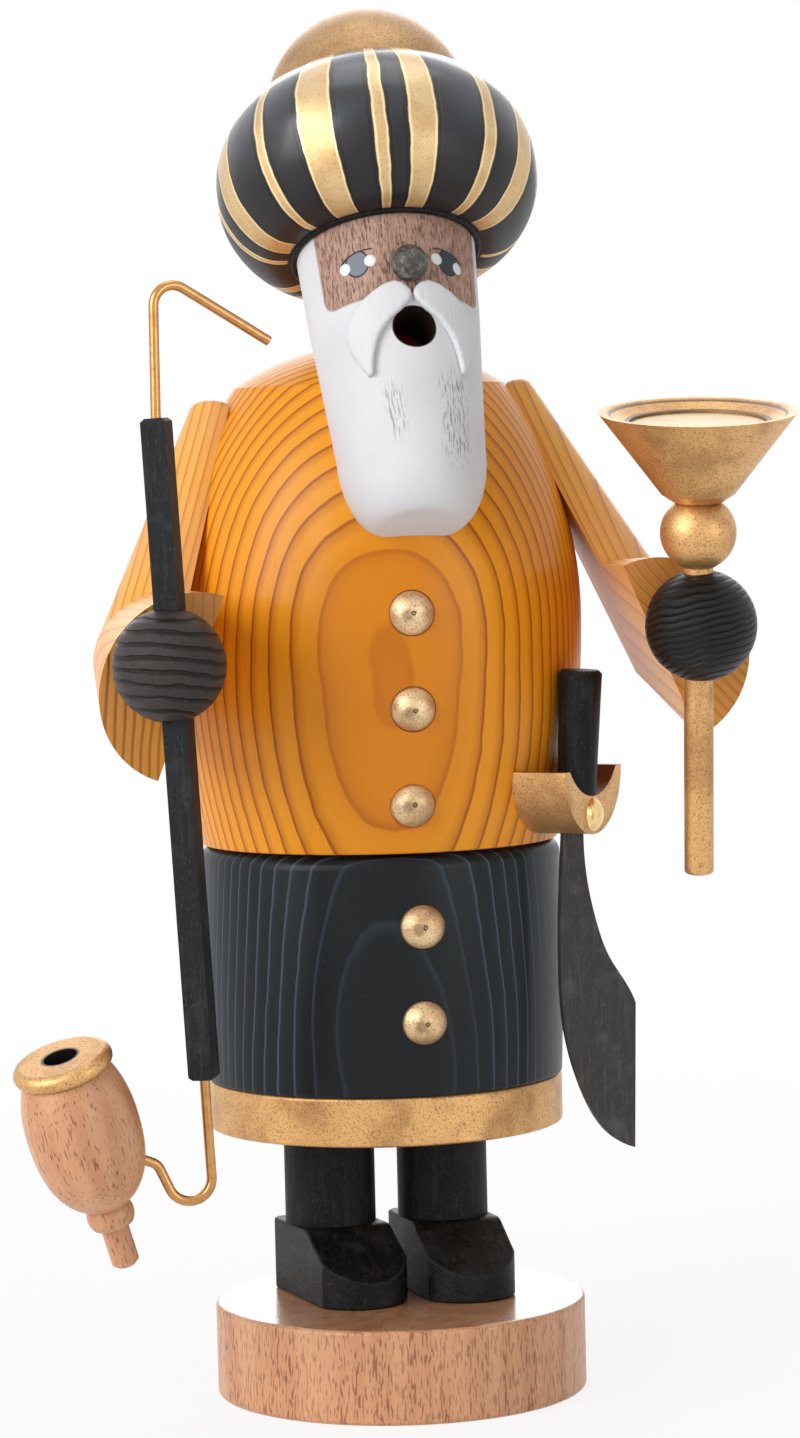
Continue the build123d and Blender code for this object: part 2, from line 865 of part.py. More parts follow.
def bowl_bore():
    top = bowl_body_length + bowl_rim_height
    return rod(bowl_frame, bowl_bore_radius, top - bowl_bore_depth, top + overrun)


def pipe_bowl():
    """Bowl body, collar and drip peg in one turning."""
    widest = bowl_body_length * bowl_widest_share
    side = Spline(
        (bowl_foot_radius, 0),
        (bowl_radius, widest),
        (bowl_neck_radius, bowl_body_length),
        tangents=[
            (bowl_radius - bowl_foot_radius, bowl_foot_radius),
            (-bowl_foot_radius, bowl_neck_radius),
        ],
    )
    collar_low = -bowl_collar_height
    collar = ThreePointArc(
        (bowl_foot_radius, collar_low),
        (bowl_collar_radius, collar_low / 2),
        (bowl_foot_radius, 0),
    )
    peg_low = collar_low - bowl_peg_length
    peg = Polyline(
        (0, peg_low),
        (bowl_peg_radius - bowl_peg_round, peg_low),
        (bowl_peg_radius, peg_low + bowl_peg_round),
        (bowl_peg_radius, collar_low),
        (bowl_foot_radius, collar_low),
    )
    close = Polyline((bowl_neck_radius, bowl_body_length), (0, bowl_body_length), (0, peg_low))
    blank = bowl_frame * turned(peg, collar, side, close)
    return blank - bowl_bore() - pipe_elbow()


def pipe_bowl_rim():
    """Rounded gold ring on the bowl's mouth."""
    half = bowl_rim_height / 2
    flat = bowl_rim_radius - half
    ring = turned(
        Line((0, 0), (flat, 0)),
        ThreePointArc((flat, 0), (bowl_rim_radius, half), (flat, bowl_rim_height)),
        Polyline((flat, bowl_rim_height), (0, bowl_rim_height), (0, 0)),
    )
    return bowl_frame * Pos(0, 0, bowl_body_length) * ring - bowl_bore()


def goblet_rod():
    rod_top = cup_foot + rod_in_cup
    stick = rod(Plane.XY, rod_radius, -rod_below_hand, rod_top)
    low_end = stick.edges().filter_by(GeomType.CIRCLE).sort_by(Axis.Z)[0]
    return goblet_frame * fillet(low_end, rod_end_round)


def goblet_bead_blank():
    return goblet_frame * Pos(0, 0, bead_lift) * Sphere(bead_radius)


def goblet_cup():
    """Conical cup with a shallow dished top, seated on the bead."""
    dish_top = cup_radius - cup_lip_width
    dish_floor = cup_height - cup_dish_depth
    floor = dish_floor - cup_step_depth
    cup = turned(
        Polyline(
            (0, 0),
            (cup_foot_radius, 0),
            (cup_waist_radius, cup_waist_height),
            (cup_radius, cup_height),
            (dish_top, cup_height),
            (cup_dish_radius, dish_floor),
            (cup_floor_radius, dish_floor),
            (cup_floor_radius, floor),
            (0, floor),
            (0, 0),
        )
    )
    return goblet_frame * Pos(0, 0, cup_foot) * cup - goblet_bead_blank() - goblet_rod()


def right_hand():
    return right_arm.hand_blank() - stem_blank()


def left_hand():
    return left_arm.hand_blank() - goblet_rod()


# Guard frame: outer face of the guard, X along the face, Z away from the figure
guard_frame = radial_plane(sabre_bearing, guard_face_reach, guard_top_height)
nail_frame = radial_plane(sabre_bearing, guard_face_reach, guard_top_height - sabre_nail_drop)
hilt_foot = radial_plane(sabre_bearing, hilt_reach, guard_top_height + guard_scoop_lift - guard_scoop_radius)
hilt_up = (Vector(0, 0, 1) + hilt_foot.z_dir * sin(radians(hilt_outward_lean))).normalized()


def sabre_nail():
    """Domed nail that fixes the guard to the coat."""
    head_arc = arc_radius(sabre_nail_head_radius, sabre_nail_head_height)
    middle = sabre_nail_head_radius / 2
    dome = ThreePointArc(
        (sabre_nail_head_radius, 0),
        (middle, sabre_nail_head_height - arc_drop(head_arc, middle)),
        (0, sabre_nail_head_height),
    )
    head_cap = nail_frame * turned(Line((0, 0), dome @ 0), dome, Line(dome @ 1, (0, 0)))
    return head_cap + rod(nail_frame, sabre_nail_radius, -sabre_nail_length, 0)


def sabre_blade():
    """Curved blade that widens to a clipped tip, with a short tang in the guard."""
    guard_bottom = guard_top_height - guard_radius
    origin = Vector(hilt_foot.origin.X - blade_neck_offset, hilt_foot.origin.Y, guard_bottom)
    plane = Plane(origin=origin, x_dir=(1, 0, 0), z_dir=(0, -1, 0))

    def outline(shares):
        return [(across * blade_width, -down * blade_length) for across, down in shares]

    back = outline(blade_back_shares)
    edge = outline(blade_edge_shares)
    sketch = Curve() + [
        Line((0, blade_tang_rise), (0, 0)),
        Spline(*back),
        Line(back[-1], edge[0]),
        Spline(*edge),
        Line(edge[-1], (edge[-1][0], blade_tang_rise)),
        Line((edge[-1][0], blade_tang_rise), (0, blade_tang_rise)),
    ]
    return extrude(plane * make_face(sketch), blade_thickness / 2, both=True)


def sabre_hilt():
    """Tapered grip standing in the guard's hollow."""
    taper = turned(
        Polyline(
            (0, -guard_scoop_lift),
            (hilt_bottom_radius, -guard_scoop_lift),
            (hilt_top_radius, hilt_length - hilt_end_round),
            (hilt_top_radius - hilt_end_round, hilt_length),
            (0, hilt_length),
            (0, -guard_scoop_lift),
        )
    )
    grip = Plane(origin=hilt_foot.origin, x_dir=hilt_foot.x_dir, z_dir=hilt_up) * taper
    return grip & guard_hollow()


def guard_hollow():
    """Room above the guard's scooped top."""
    width = 4 * guard_radius
    depth = 4 * guard_face_reach
    scoop = Pos(0, guard_scoop_lift, 0) * Cylinder(guard_scoop_radius, depth)
    room = Box(width, width, depth, align=(Align.CENTER, Align.MIN, Align.CENTER))
    above = Pos(0, guard_radius, 0) * room
    return guard_frame * (scoop + above)


def sabre_guard():
    """Half disc with a scooped top, saddled to the coat."""
    half_disc = make_face(
        Curve() + [
            ThreePointArc((-guard_radius, 0), (0, -guard_radius), (guard_radius, 0)),
            Line((guard_radius, 0), (-guard_radius, 0)),
        ]
    )
    block = extrude(guard_frame * half_disc, guard_face_reach - chamber_radius, dir=-guard_frame.z_dir)
    return block - guard_hollow() - coat_blank() - sabre_nail() - sabre_blade()


def build_nodes():
    """Every node by name."""
    places = leg_places()
    return {
        "base_disc": base_disc(),
        "right_shoe": shoe(places["right"], right_shoe_turn),
        "left_shoe": shoe(places["left"], left_shoe_turn),
        "right_leg": leg(places["right"]),
        "left_leg": leg(places["left"]),
        "foot_dowels": Compound([foot_dowel(place) for place in places.values()]),
        "hem_disc": hem_disc(),
        "lower_body": lower_body(),
        "skirt_buttons": Compound([button(plane) for plane in skirt_button_planes()]),
        "burner_plate": burner_plate(),
        "burner_tack": burner_tack(),
        "upper_body": upper_body(),
        "coat_buttons": Compound([button(plane) for plane in coat_button_planes()]),
        "right_upper_arm": upper_arm(right_arm),
        "left_upper_arm": upper_arm(left_arm),
        "right_forearm": right_arm.forearm(),
        "left_forearm": left_arm.forearm(),
        "shoulder_dowels": Compound([arm.shoulder_dowel() for arm in arms.values()]),
        "wrist_dowels": Compound([arm.wrist_dowel() for arm in arms.values()]),
        "right_hand": right_hand(),
        "left_hand": left_hand(),
        "head": head(),
        "head_dowel": head_dowel(),
        "nose": nose(),
        "moustache_right": moustache(-1),
        "moustache_left": moustache(1),
        "turban": turban(),
        "turban_dowel": turban_dowel(),
        "turban_knob": turban_knob(),
        "knob_dowel": knob_dowel(),
        "pipe_stem": pipe_stem(),
        "pipe_mouthpiece": pipe_mouthpiece(),
        "pipe_elbow": pipe_elbow(),
        "pipe_bowl": pipe_bowl(),
        "pipe_bowl_rim": pipe_bowl_rim(),
        "goblet_cup": goblet_cup(),
        "goblet_bead": goblet_bead_blank() - goblet_rod(),
        "goblet_rod": goblet_rod(),
        "sabre_hilt": sabre_hilt(),
        "sabre_guard": sabre_guard(),
        "sabre_nail": sabre_nail(),
        "sabre_blade": sabre_blade(),
    }


for node_name, solid in build_nodes().items():
    export_step(solid, f"parts/{node_name}.step")
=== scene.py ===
import math
from functools import partial

import bmesh
import bpy
from bpy.props import FloatProperty, FloatVectorProperty, PointerProperty
from mathutils import Matrix, Vector


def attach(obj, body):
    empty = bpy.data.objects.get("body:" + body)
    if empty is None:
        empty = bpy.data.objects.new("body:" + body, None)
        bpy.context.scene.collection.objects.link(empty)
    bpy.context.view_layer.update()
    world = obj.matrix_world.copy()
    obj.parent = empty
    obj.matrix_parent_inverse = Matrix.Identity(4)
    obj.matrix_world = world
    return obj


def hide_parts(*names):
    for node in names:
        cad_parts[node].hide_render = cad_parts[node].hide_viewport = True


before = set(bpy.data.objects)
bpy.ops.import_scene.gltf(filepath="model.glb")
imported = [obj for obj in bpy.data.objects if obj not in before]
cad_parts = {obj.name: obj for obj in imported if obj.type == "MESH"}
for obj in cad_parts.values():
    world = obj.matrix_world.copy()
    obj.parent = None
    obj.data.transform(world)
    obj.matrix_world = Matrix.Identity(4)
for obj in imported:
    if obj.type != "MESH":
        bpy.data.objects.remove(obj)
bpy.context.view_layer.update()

bl_info = {
    "name": "Turned Incense Smoker",
    "version": (1, 0, 0),
    "blender": (4, 5, 0),
    "location": "View3D > Sidebar > Smoker",
    "description": "Dresses a turned wooden incense smoker in stained and painted wood",
    "category": "Object",
}

MM = 0.001
DEGREES = 180 / math.pi
UP = Vector((0, 0, 1))

# Camera at the photograph's angle: heading, pitch and roll in degrees, the rest in millimetres
CAMERA_ANGLES = (12.31, 3.35, -1.37)
CAMERA_PLACE = Vector((-135.14, -628.80, 139.3))
CAMERA_LENS = 106.9
CAMERA_SENSOR = 36

# Softboxes that point at the figure's middle: name, place and side in metres, power in watts
LAMPS = (
    ("key_light", (-1.15, -0.62, 0.66), 0.95, 14.5),
    ("fill_light", (0.75, -1.1, 0.3), 0.6, 2.2),
    ("top_light", (0.05, 0.1, 1.2), 0.8, 2.2),
    ("back_light", (0.3, 1.2, 0.6), 0.9, 4.5),
)
LAMPS_AIM = Vector((0, 0, 0.1))
ROOM_LIGHT = 0.38
WHITE = (1, 1, 1, 1)

# Floor: radius in metres, how white it shows at the figure, and where that fades to white, in millimetres
FLOOR_RADIUS = 9
FLOOR_SHADE = 0.84
FLOOR_FADE = (50, 400)

# Growth rings of coat and skirt: the way their layers face, and the point that they close up round
COAT_FACING = Vector((-0.1436, -0.987, -0.0715))
COAT_HEART = Vector((-4.48, -23.77, 107.6))
SKIRT_FACING = Vector((-0.16, -0.985, -0.06))
SKIRT_HEART = Vector((-2, -20.2, 66))

# Axis of the round body, beside the base's middle, in metres
BODY_AXIS_Y = 7 * MM

# Middle of the seam under the turban, and the directions of the head, which leans back
HEAD_SEAM = Vector((0, -7.3, 171.1))
HEAD_SIDE = Vector((1, 0, 0))
HEAD_FRONT = Vector((0, -0.9063, 0.4226))
HEAD_UP = Vector((0, 0.4226, 0.9063))
HEAD_RADIUS = 13.0

# Bare patch of the face: middle and half width round the head, drop of its lower edge, corner radius
FACE_MIDDLE = -1
FACE_HALF = 12
FACE_DROP = 10.6
FACE_CORNER = 2.25

# Eyes: angle, drop and side of each iris, half its width and height, angle and drop of the white dots
EYE_PLACES = ((-33.4, 7.2, -1), (29.6, 7.46, 1))
IRIS = (1.8, 2.0)
EYE_DOTS = ((-42.4, 7.49), (-24.4, 7.17), (20.5, 7.25), (37.8, 7.92))

# Mouth hole: its drop and its radius
MOUTH_DROP = 18.1
MOUTH_RADIUS = 3.15

# Outward side and grain of the arms' pieces
RIGHT_OUT = Vector((-0.945, -0.0545, 0.322))
LEFT_OUT = Vector((0.902, -0.101, 0.4195))
RIGHT_UPPER = Vector((-0.302, -0.232, -0.924))
RIGHT_FORE = Vector((-0.014, -0.978, -0.2065))
LEFT_UPPER = Vector((0.380, -0.274, -0.883))
LEFT_FORE = Vector((-0.0246, -0.9826, -0.184))

# Top middle of the pipe's bowl and the way that it opens
BOWL_TOP = Vector((-55.8, -38.2, 57.2))
BOWL_AXIS = Vector((-0.289, -0.2155, 0.933)).normalized()

# Foot of the goblet's rod and the way that it points
GOBLET_FOOT = Vector((39.52, -30.98, 79.59))
GOBLET_AXIS = Vector((-0.0299, -0.1615, 0.9864)).normalized()

# Hands: the way that their grooves are stacked
RIGHT_HAND_GRAIN = Vector((0.1, 0.05, 1)).normalized()
LEFT_HAND_GRAIN = Vector((-0.2, 0.1, 1)).normalized()

# Inside of the pipe's bowl: its radius and the depth of its floor
BORE_RADIUS = 2.8
BORE_FLOOR = -18

# Goblet: height and radius of the dish, radius of its floor's line, height of the line under the lip
DISH_FLOOR = 66
DISH_RADIUS = 12.45
DISH_LINE = (9.75, 10.5)
LIP_LINE = (67.35, 67.6)

# Gold stripes of the turban: middle and half width in degrees round the head's axis
TURBAN_STRIPES = (
    (-147, 5), (-132, 3.2), (-98, 2.1), (-81.5, 5.6), (-55.9, 2.2), (-32.8, 6.6), (-10, 2.5),
    (5.5, 5.1), (33, 3), (55, 6), (93, 1.6), (113, 5), (138, 2.5), (164, 6), (-170, 2.3),
)


def tone(red, green, blue):
    """Linear colour for the eight-bit values of a paint chip."""
    linear = []
    for level in (red, green, blue):
        share = level / 255
        linear.append(share / 12.92 if share <= 0.04045 else ((share + 0.055) / 1.055) ** 2.4)
    return tuple(linear)


def solid(colour):
    """Colour with full opacity."""
    return (colour[0], colour[1], colour[2], 1)


def blend(first, second, share):
    """Colour between two, with a share of the second."""
    return tuple((1 - share) * a + share * b for a, b in zip(first, second))


def lighten(colour, times, lift=0):
    """Lighter or darker shade of a colour."""
    return tuple(min(1, level * times + lift) for level in colour)


class Number:
    """A socket that holds a number; Python's operators on it add Math nodes."""

    def __init__(self, nodes, socket):
        self.nodes = nodes
        self.socket = socket

    def math(self, operation, *others):
        return self.nodes.maths(operation, self, *others)

    def __add__(self, other):
        return self.nodes.maths("ADD", self, other)

    def __radd__(self, other):
        return self.nodes.maths("ADD", other, self)

    def __sub__(self, other):
        return self.nodes.maths("SUBTRACT", self, other)

    def __rsub__(self, other):
        return self.nodes.maths("SUBTRACT", other, self)

    def __mul__(self, other):
        return self.nodes.maths("MULTIPLY", self, other)

    def __rmul__(self, other):
        return self.nodes.maths("MULTIPLY", other, self)

    def __truediv__(self, other):
        return self.nodes.maths("DIVIDE", self, other)

    def __pow__(self, other):
        return self.nodes.maths("POWER", self, other)

    def __abs__(self):
        return self.nodes.maths("ABSOLUTE", self)


class Nodes:
    """A tree of nodes, emptied first, to which every node is added in one way."""

    def __init__(self, tree):
        self.tree = tree
        self.tree.nodes.clear()

    def node(self, kind, settings=None, values=None):
        """Adds one node: its settings first, then the values or links of its sockets."""
        made = self.tree.nodes.new(kind)
        for key, setting in (settings or {}).items():
            if key == "stops":
                ramp = made.color_ramp
                while len(ramp.elements) < len(setting):
                    ramp.elements.new(1)
                for element, (position, colour) in zip(ramp.elements, setting):
                    element.position = position
                    element.color = solid(colour)
            else:
                setattr(made, key, setting)
        for key, value in (values or {}).items():
            socket = made.inputs[key]
            if isinstance(value, Number):
                value = value.socket
            if isinstance(value, bpy.types.NodeSocket):
                self.tree.links.new(value, socket)
            else:
                socket.default_value = value
        return made

    def maths(self, operation, *values):
        made = self.node("ShaderNodeMath", {"operation": operation}, dict(enumerate(values)))
        return Number(self, made.outputs[0])

    def seen(self):
        """1 for the rays that look at the surroundings: from the camera, a mirror or a glass."""
        path = self.node("ShaderNodeLightPath")
        share = Number(self, path.outputs["Is Camera Ray"])
        for ray in ("Is Glossy Ray", "Is Transmission Ray"):
            share = share.math("MAXIMUM", Number(self, path.outputs[ray]))
        return share


class Finish(Nodes):
    """One procedural material, in millimetres of the object's own space."""

    def __init__(self, name):
        self.material = bpy.data.materials.new(name)
        self.material.use_nodes = True
        super().__init__(self.material.node_tree)
        coordinates = self.node("ShaderNodeTexCoord")
        values = {0: coordinates.outputs["Object"], "Scale": 1 / MM}
        self.place = self.node("ShaderNodeVectorMath", {"operation": "SCALE"}, values).outputs[0]
        self.normal = coordinates.outputs["Normal"]

    def along(self, direction, origin=Vector((0, 0, 0))):
        """How far a point lies from the origin along a direction."""
        values = {0: self.place, 1: tuple(direction)}
        made = self.node("ShaderNodeVectorMath", {"operation": "DOT_PRODUCT"}, values)
        return Number(self, made.outputs["Value"]) - direction.dot(origin)

    def distance(self, point):
        """How far a place lies from a point."""
        values = {0: self.place, 1: tuple(point)}
        made = self.node("ShaderNodeVectorMath", {"operation": "DISTANCE"}, values)
        return Number(self, made.outputs["Value"])

    def fibres(self, direction, keep=0.06):
        """Coordinates drawn out along the grain."""
        length = self.along(direction) * (1 - keep)
        values = {0: tuple(direction), "Scale": length}
        shift = self.node("ShaderNodeVectorMath", {"operation": "SCALE"}, values).outputs[0]
        values = {0: self.place, 1: shift}
        return self.node("ShaderNodeVectorMath", {"operation": "SUBTRACT"}, values).outputs[0]

    def noise(self, scale, detail=2, roughness=0.5, vector=None):
        """Cloudy pattern with a scale per millimetre."""
        values = {"Vector": vector or self.place, "Scale": scale}
        values.update({"Detail": detail, "Roughness": roughness})
        return Number(self, self.node("ShaderNodeTexNoise", None, values).outputs[0])

    def smooth(self, value, low, high):
        """Smooth step from 0 at low to 1 at high."""
        settings = {"interpolation_type": "SMOOTHSTEP"}
        made = self.node("ShaderNodeMapRange", settings, {0: value, 1: low, 2: high})
        return Number(self, made.outputs[0])

    def band(self, value, low, high, soft):
        """1 between low and high, with soft edges."""
        return self.smooth(value, low - soft, low + soft) * self.smooth(value, high + soft, high - soft)

    def mix(self, share, first, second):
        """Colour between two, with a share of the second."""
        first = solid(first) if not isinstance(first, bpy.types.NodeSocket) else first
        second = solid(second) if not isinstance(second, bpy.types.NodeSocket) else second
        values = {0: share, 6: first, 7: second}
        return self.node("ShaderNodeMix", {"data_type": "RGBA"}, values).outputs[2]

    def ramp(self, value, stops):
        """Colours along a value; each stop is a position and a colour."""
        return self.node("ShaderNodeValToRGB", {"stops": stops}, {0: value}).outputs[0]

    def facing(self, direction):
        """How far the surface faces a direction."""
        values = {0: self.normal, 1: tuple(direction)}
        made = self.node("ShaderNodeVectorMath", {"operation": "DOT_PRODUCT"}, values)
        return Number(self, made.outputs["Value"])

    def surface(
        self, colour, roughness, metallic=0, coat=0, relief=None, depth=0.1, shine=0.5, lacquer=0.18):
        """Shader of the finish: coat is its lacquer, depth its relief in millimetres."""
        values = {"Base Color": colour, "Roughness": roughness, "Metallic": metallic}
        values["Coat Weight"] = coat
        values["Coat Roughness"] = lacquer
        values["Specular IOR Level"] = shine
        if relief is not None:
            bump = {"Height": relief, "Strength": 1, "Distance": depth * MM}
            values["Normal"] = self.node("ShaderNodeBump", None, bump).outputs[0]
        shader = self.node("ShaderNodeBsdfPrincipled", None, values)
        self.node("ShaderNodeOutputMaterial", None, {0: shader.outputs[0]})
        return self.material


def dress(material, *names):
    """Gives carried-over nodes a finish."""
    for name in names:
        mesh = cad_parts[name].data
        mesh.materials.clear()
        mesh.materials.append(material)


def stained_rings(name, colours, facing, heart_place, spacing, wander, coat):
    """Stained softwood turned across flat growth rings, which close up round the front."""
    wood = Finish(name)
    depth = wood.along(-facing, heart_place) + (wood.noise(0.022, 1) - 0.5) * wander
    phase = depth / spacing + (wood.noise(0.05, 0) - 0.5) * 0.7 + (wood.noise(0.22, 1) - 0.5) * 0.14
    ring = phase.math("FRACT")
    light, middle, dark, heart = colours
    stops = ((0, light), (0.5, light), (0.82, middle), (0.92, dark), (0.96, dark), (1, light))
    grain = wood.ramp(ring, stops)
    grain = wood.mix(wood.smooth(depth, 4.2, 0.6) * 0.75, grain, heart)
    fibre = wood.noise(1.6, 3, 0.6, wood.fibres(UP, 0.12))
    grain = wood.mix(wood.smooth(fibre, 0.5, 0.8) * 0.3, grain, middle)
    speck = wood.smooth(wood.noise(2.6, 2), 0.7, 0.76)
    grain = wood.mix(speck * 0.35, grain, dark)
    relief = fibre * 0.4 + wood.smooth(ring, 0.7, 0.95) * 0.6
    gloss = 0.34 + fibre * 0.16
    return wood.surface(grain, gloss, coat=coat, relief=relief, depth=0.05, shine=0.14, lacquer=0.3)


def stained_grain(name, colours, along, across, spacing, coat):
    """Stained softwood cut along the grain; its lines end as bands on the sawn ends, and broad pale
    patches of painted sheen lie over it.
    """
    wood = Finish(name)
    drawn = wood.fibres(along, 0.03)
    drift = (wood.noise(0.07, 1, 0.5, drawn) - 0.5) * 2.4
    phase = (wood.along(across) + drift) / spacing
    ring = phase.math("FRACT")
    light, middle, dark, painted_sheen = colours
    grain = wood.ramp(ring, ((0, light), (0.5, light), (0.85, middle), (0.95, dark), (1, light)))
    fibre = wood.noise(1.3, 4, 0.65, drawn)
    grain = wood.mix(wood.smooth(fibre, 0.45, 0.75) * 0.5, grain, middle)
    # Painted sheen: broad pale patches at random over the piece
    grain = wood.mix(wood.smooth(wood.noise(0.05, 1), 0.45, 0.7) * 0.35, grain, painted_sheen)
    ends = wood.smooth(abs(wood.facing(along)), 0.8, 0.95)
    grain = wood.mix(ends * 0.45, grain, dark)
    relief = fibre * 0.5 + wood.smooth(ring, 0.6, 0.9) * (0.4 + ends * 2)
    gloss = 0.38 + fibre * 0.15
    return wood.surface(grain, gloss, coat=coat, relief=relief, depth=0.07, shine=0.25, lacquer=0.3)


def black_stain(name, colour, along, gloss, groove=0.12):
    """Black stain over turned wood, with fine grooves across the piece."""
    wood = Finish(name)
    fibre = wood.noise(1.1, 4, 0.65, wood.fibres(along, 0.08))
    patch = wood.noise(0.25, 3)
    pale = lighten(colour, 2.2, 0.035)
    fine = wood.noise(4.2, 3, 0.7, wood.fibres(along, 0.35))
    grain = wood.mix(wood.smooth(fibre, 0.48, 0.75) * 0.45, colour, pale)
    grain = wood.mix(wood.smooth(patch, 0.5, 0.75) * 0.35, grain, pale)
    grain = wood.mix(wood.smooth(fine, 0.57, 0.68) * 0.6, grain, lighten(colour, 1.8, 0.05))
    return wood.surface(grain, gloss + patch * 0.2, relief=fibre + fine * 0.6, depth=groove, shine=0.17)


def gold_paint(name, colours, dark_share=0.5, marks=None):
    """Gold bronze paint with a fine brown speckle; marks gives shares of other colours on it."""
    paint = Finish(name)
    gold, brown = colours
    cloud = paint.noise(0.16, 3)
    fine = paint.noise(3.2, 3, 0.7)
    colour = paint.mix(paint.smooth(cloud, 0.4, 0.72) * dark_share, gold, brown)
    colour = paint.mix(paint.smooth(fine, 0.52, 0.64) * 0.7, colour, brown)
    colour = paint.mix(paint.smooth(fine, 0.42, 0.3) * 0.45, colour, lighten(gold, 1.35))
    metal = 0.72 - paint.smooth(fine, 0.56, 0.7) * 0.5
    for share, stain in marks(paint) if marks else ():
        colour = paint.mix(share, colour, stain)
        metal = metal * (1 - share)
    return paint.surface(colour, 0.3 + fine * 0.16, metallic=metal, relief=fine, depth=0.05)


def bare_metal(name, colour, roughness):
    """Drawn or pressed metal with faint drawing marks."""
    metal = Finish(name)
    marks = metal.noise(0.9, 3)
    tarnish = metal.mix(metal.smooth(marks, 0.45, 0.75) * 0.6, colour, lighten(colour, 0.62))
    return metal.surface(tarnish, roughness + marks * 0.12, metallic=1, relief=marks, depth=0.02)


class SmokerSizes(bpy.types.PropertyGroup):
    """Sizes of the pieces that dress the figure."""

    coat_ring: FloatProperty(
        name="Coat rings", description="Spacing of the coat's growth rings, mm",
        default=1.85, min=0.5, max=5)
    skirt_ring: FloatProperty(
        name="Skirt rings", description="Spacing of the skirt's growth rings, mm",
        default=1.7, min=0.5, max=5)
    button_radius: FloatProperty(
        name="Button radius", description="Radius of a domed button",
        default=3.4 * MM, unit="LENGTH")
    button_height: FloatProperty(
        name="Button height", description="Height of a button's dome",
        default=2.2 * MM, unit="LENGTH")
    button_shank: FloatProperty(
        name="Button shank", description="Shank from its end to the dome's flat back",
        default=5.0 * MM, unit="LENGTH")
    seam_radius: FloatProperty(
        name="Seam radius", description="Radius of the black lip under the turban",
        default=13.75 * MM, unit="LENGTH")
    seam_thickness: FloatProperty(
        name="Seam thickness", description="Half the thickness of the black lip",
        default=0.55 * MM, unit="LENGTH")
    carving_grid: FloatProperty(
        name="Carving grid", description="Fineness of the rounded moustache",
        default=0.24 * MM, unit="LENGTH")
    carving_swell: FloatProperty(
        name="Carving swell", description="How far the moustache is filled out",
        default=0.22 * MM, unit="LENGTH")


class SmokerColours(bpy.types.PropertyGroup):
    """Stains and paints of the figure."""

    orange: FloatVectorProperty(
        name="Orange stain", description="Stain of the coat",
        default=tone(238, 154, 26), subtype="COLOR", min=0, max=1)
    orange_ring: FloatVectorProperty(
        name="Orange rings", description="Late wood under the coat's stain",
        default=tone(164, 80, 8), subtype="COLOR", min=0, max=1)
    skirt: FloatVectorProperty(
        name="Skirt stain", description="Blue-black stain of the skirt",
        default=tone(7, 12, 16), subtype="COLOR", min=0, max=1)
    black: FloatVectorProperty(
        name="Black stain", description="Black stain of shoes and legs",
        default=tone(7, 8, 9), subtype="COLOR", min=0, max=1)
    beech: FloatVectorProperty(
        name="Beech", description="Clear-coated beech of base and bowl",
        default=tone(216, 160, 118), subtype="COLOR", min=0, max=1)
    gold: FloatVectorProperty(
        name="Gold paint", description="Gold bronze paint of hem, goblet, guard and bowl rim",
        default=tone(220, 172, 112), subtype="COLOR", min=0, max=1)
    face: FloatVectorProperty(
        name="Face", description="Bare brown wood of the face",
        default=tone(180, 142, 124), subtype="COLOR", min=0, max=1)
    beard: FloatVectorProperty(
        name="Beard", description="White paint of beard and moustache",
        default=tone(220, 220, 223), subtype="COLOR", min=0, max=1)


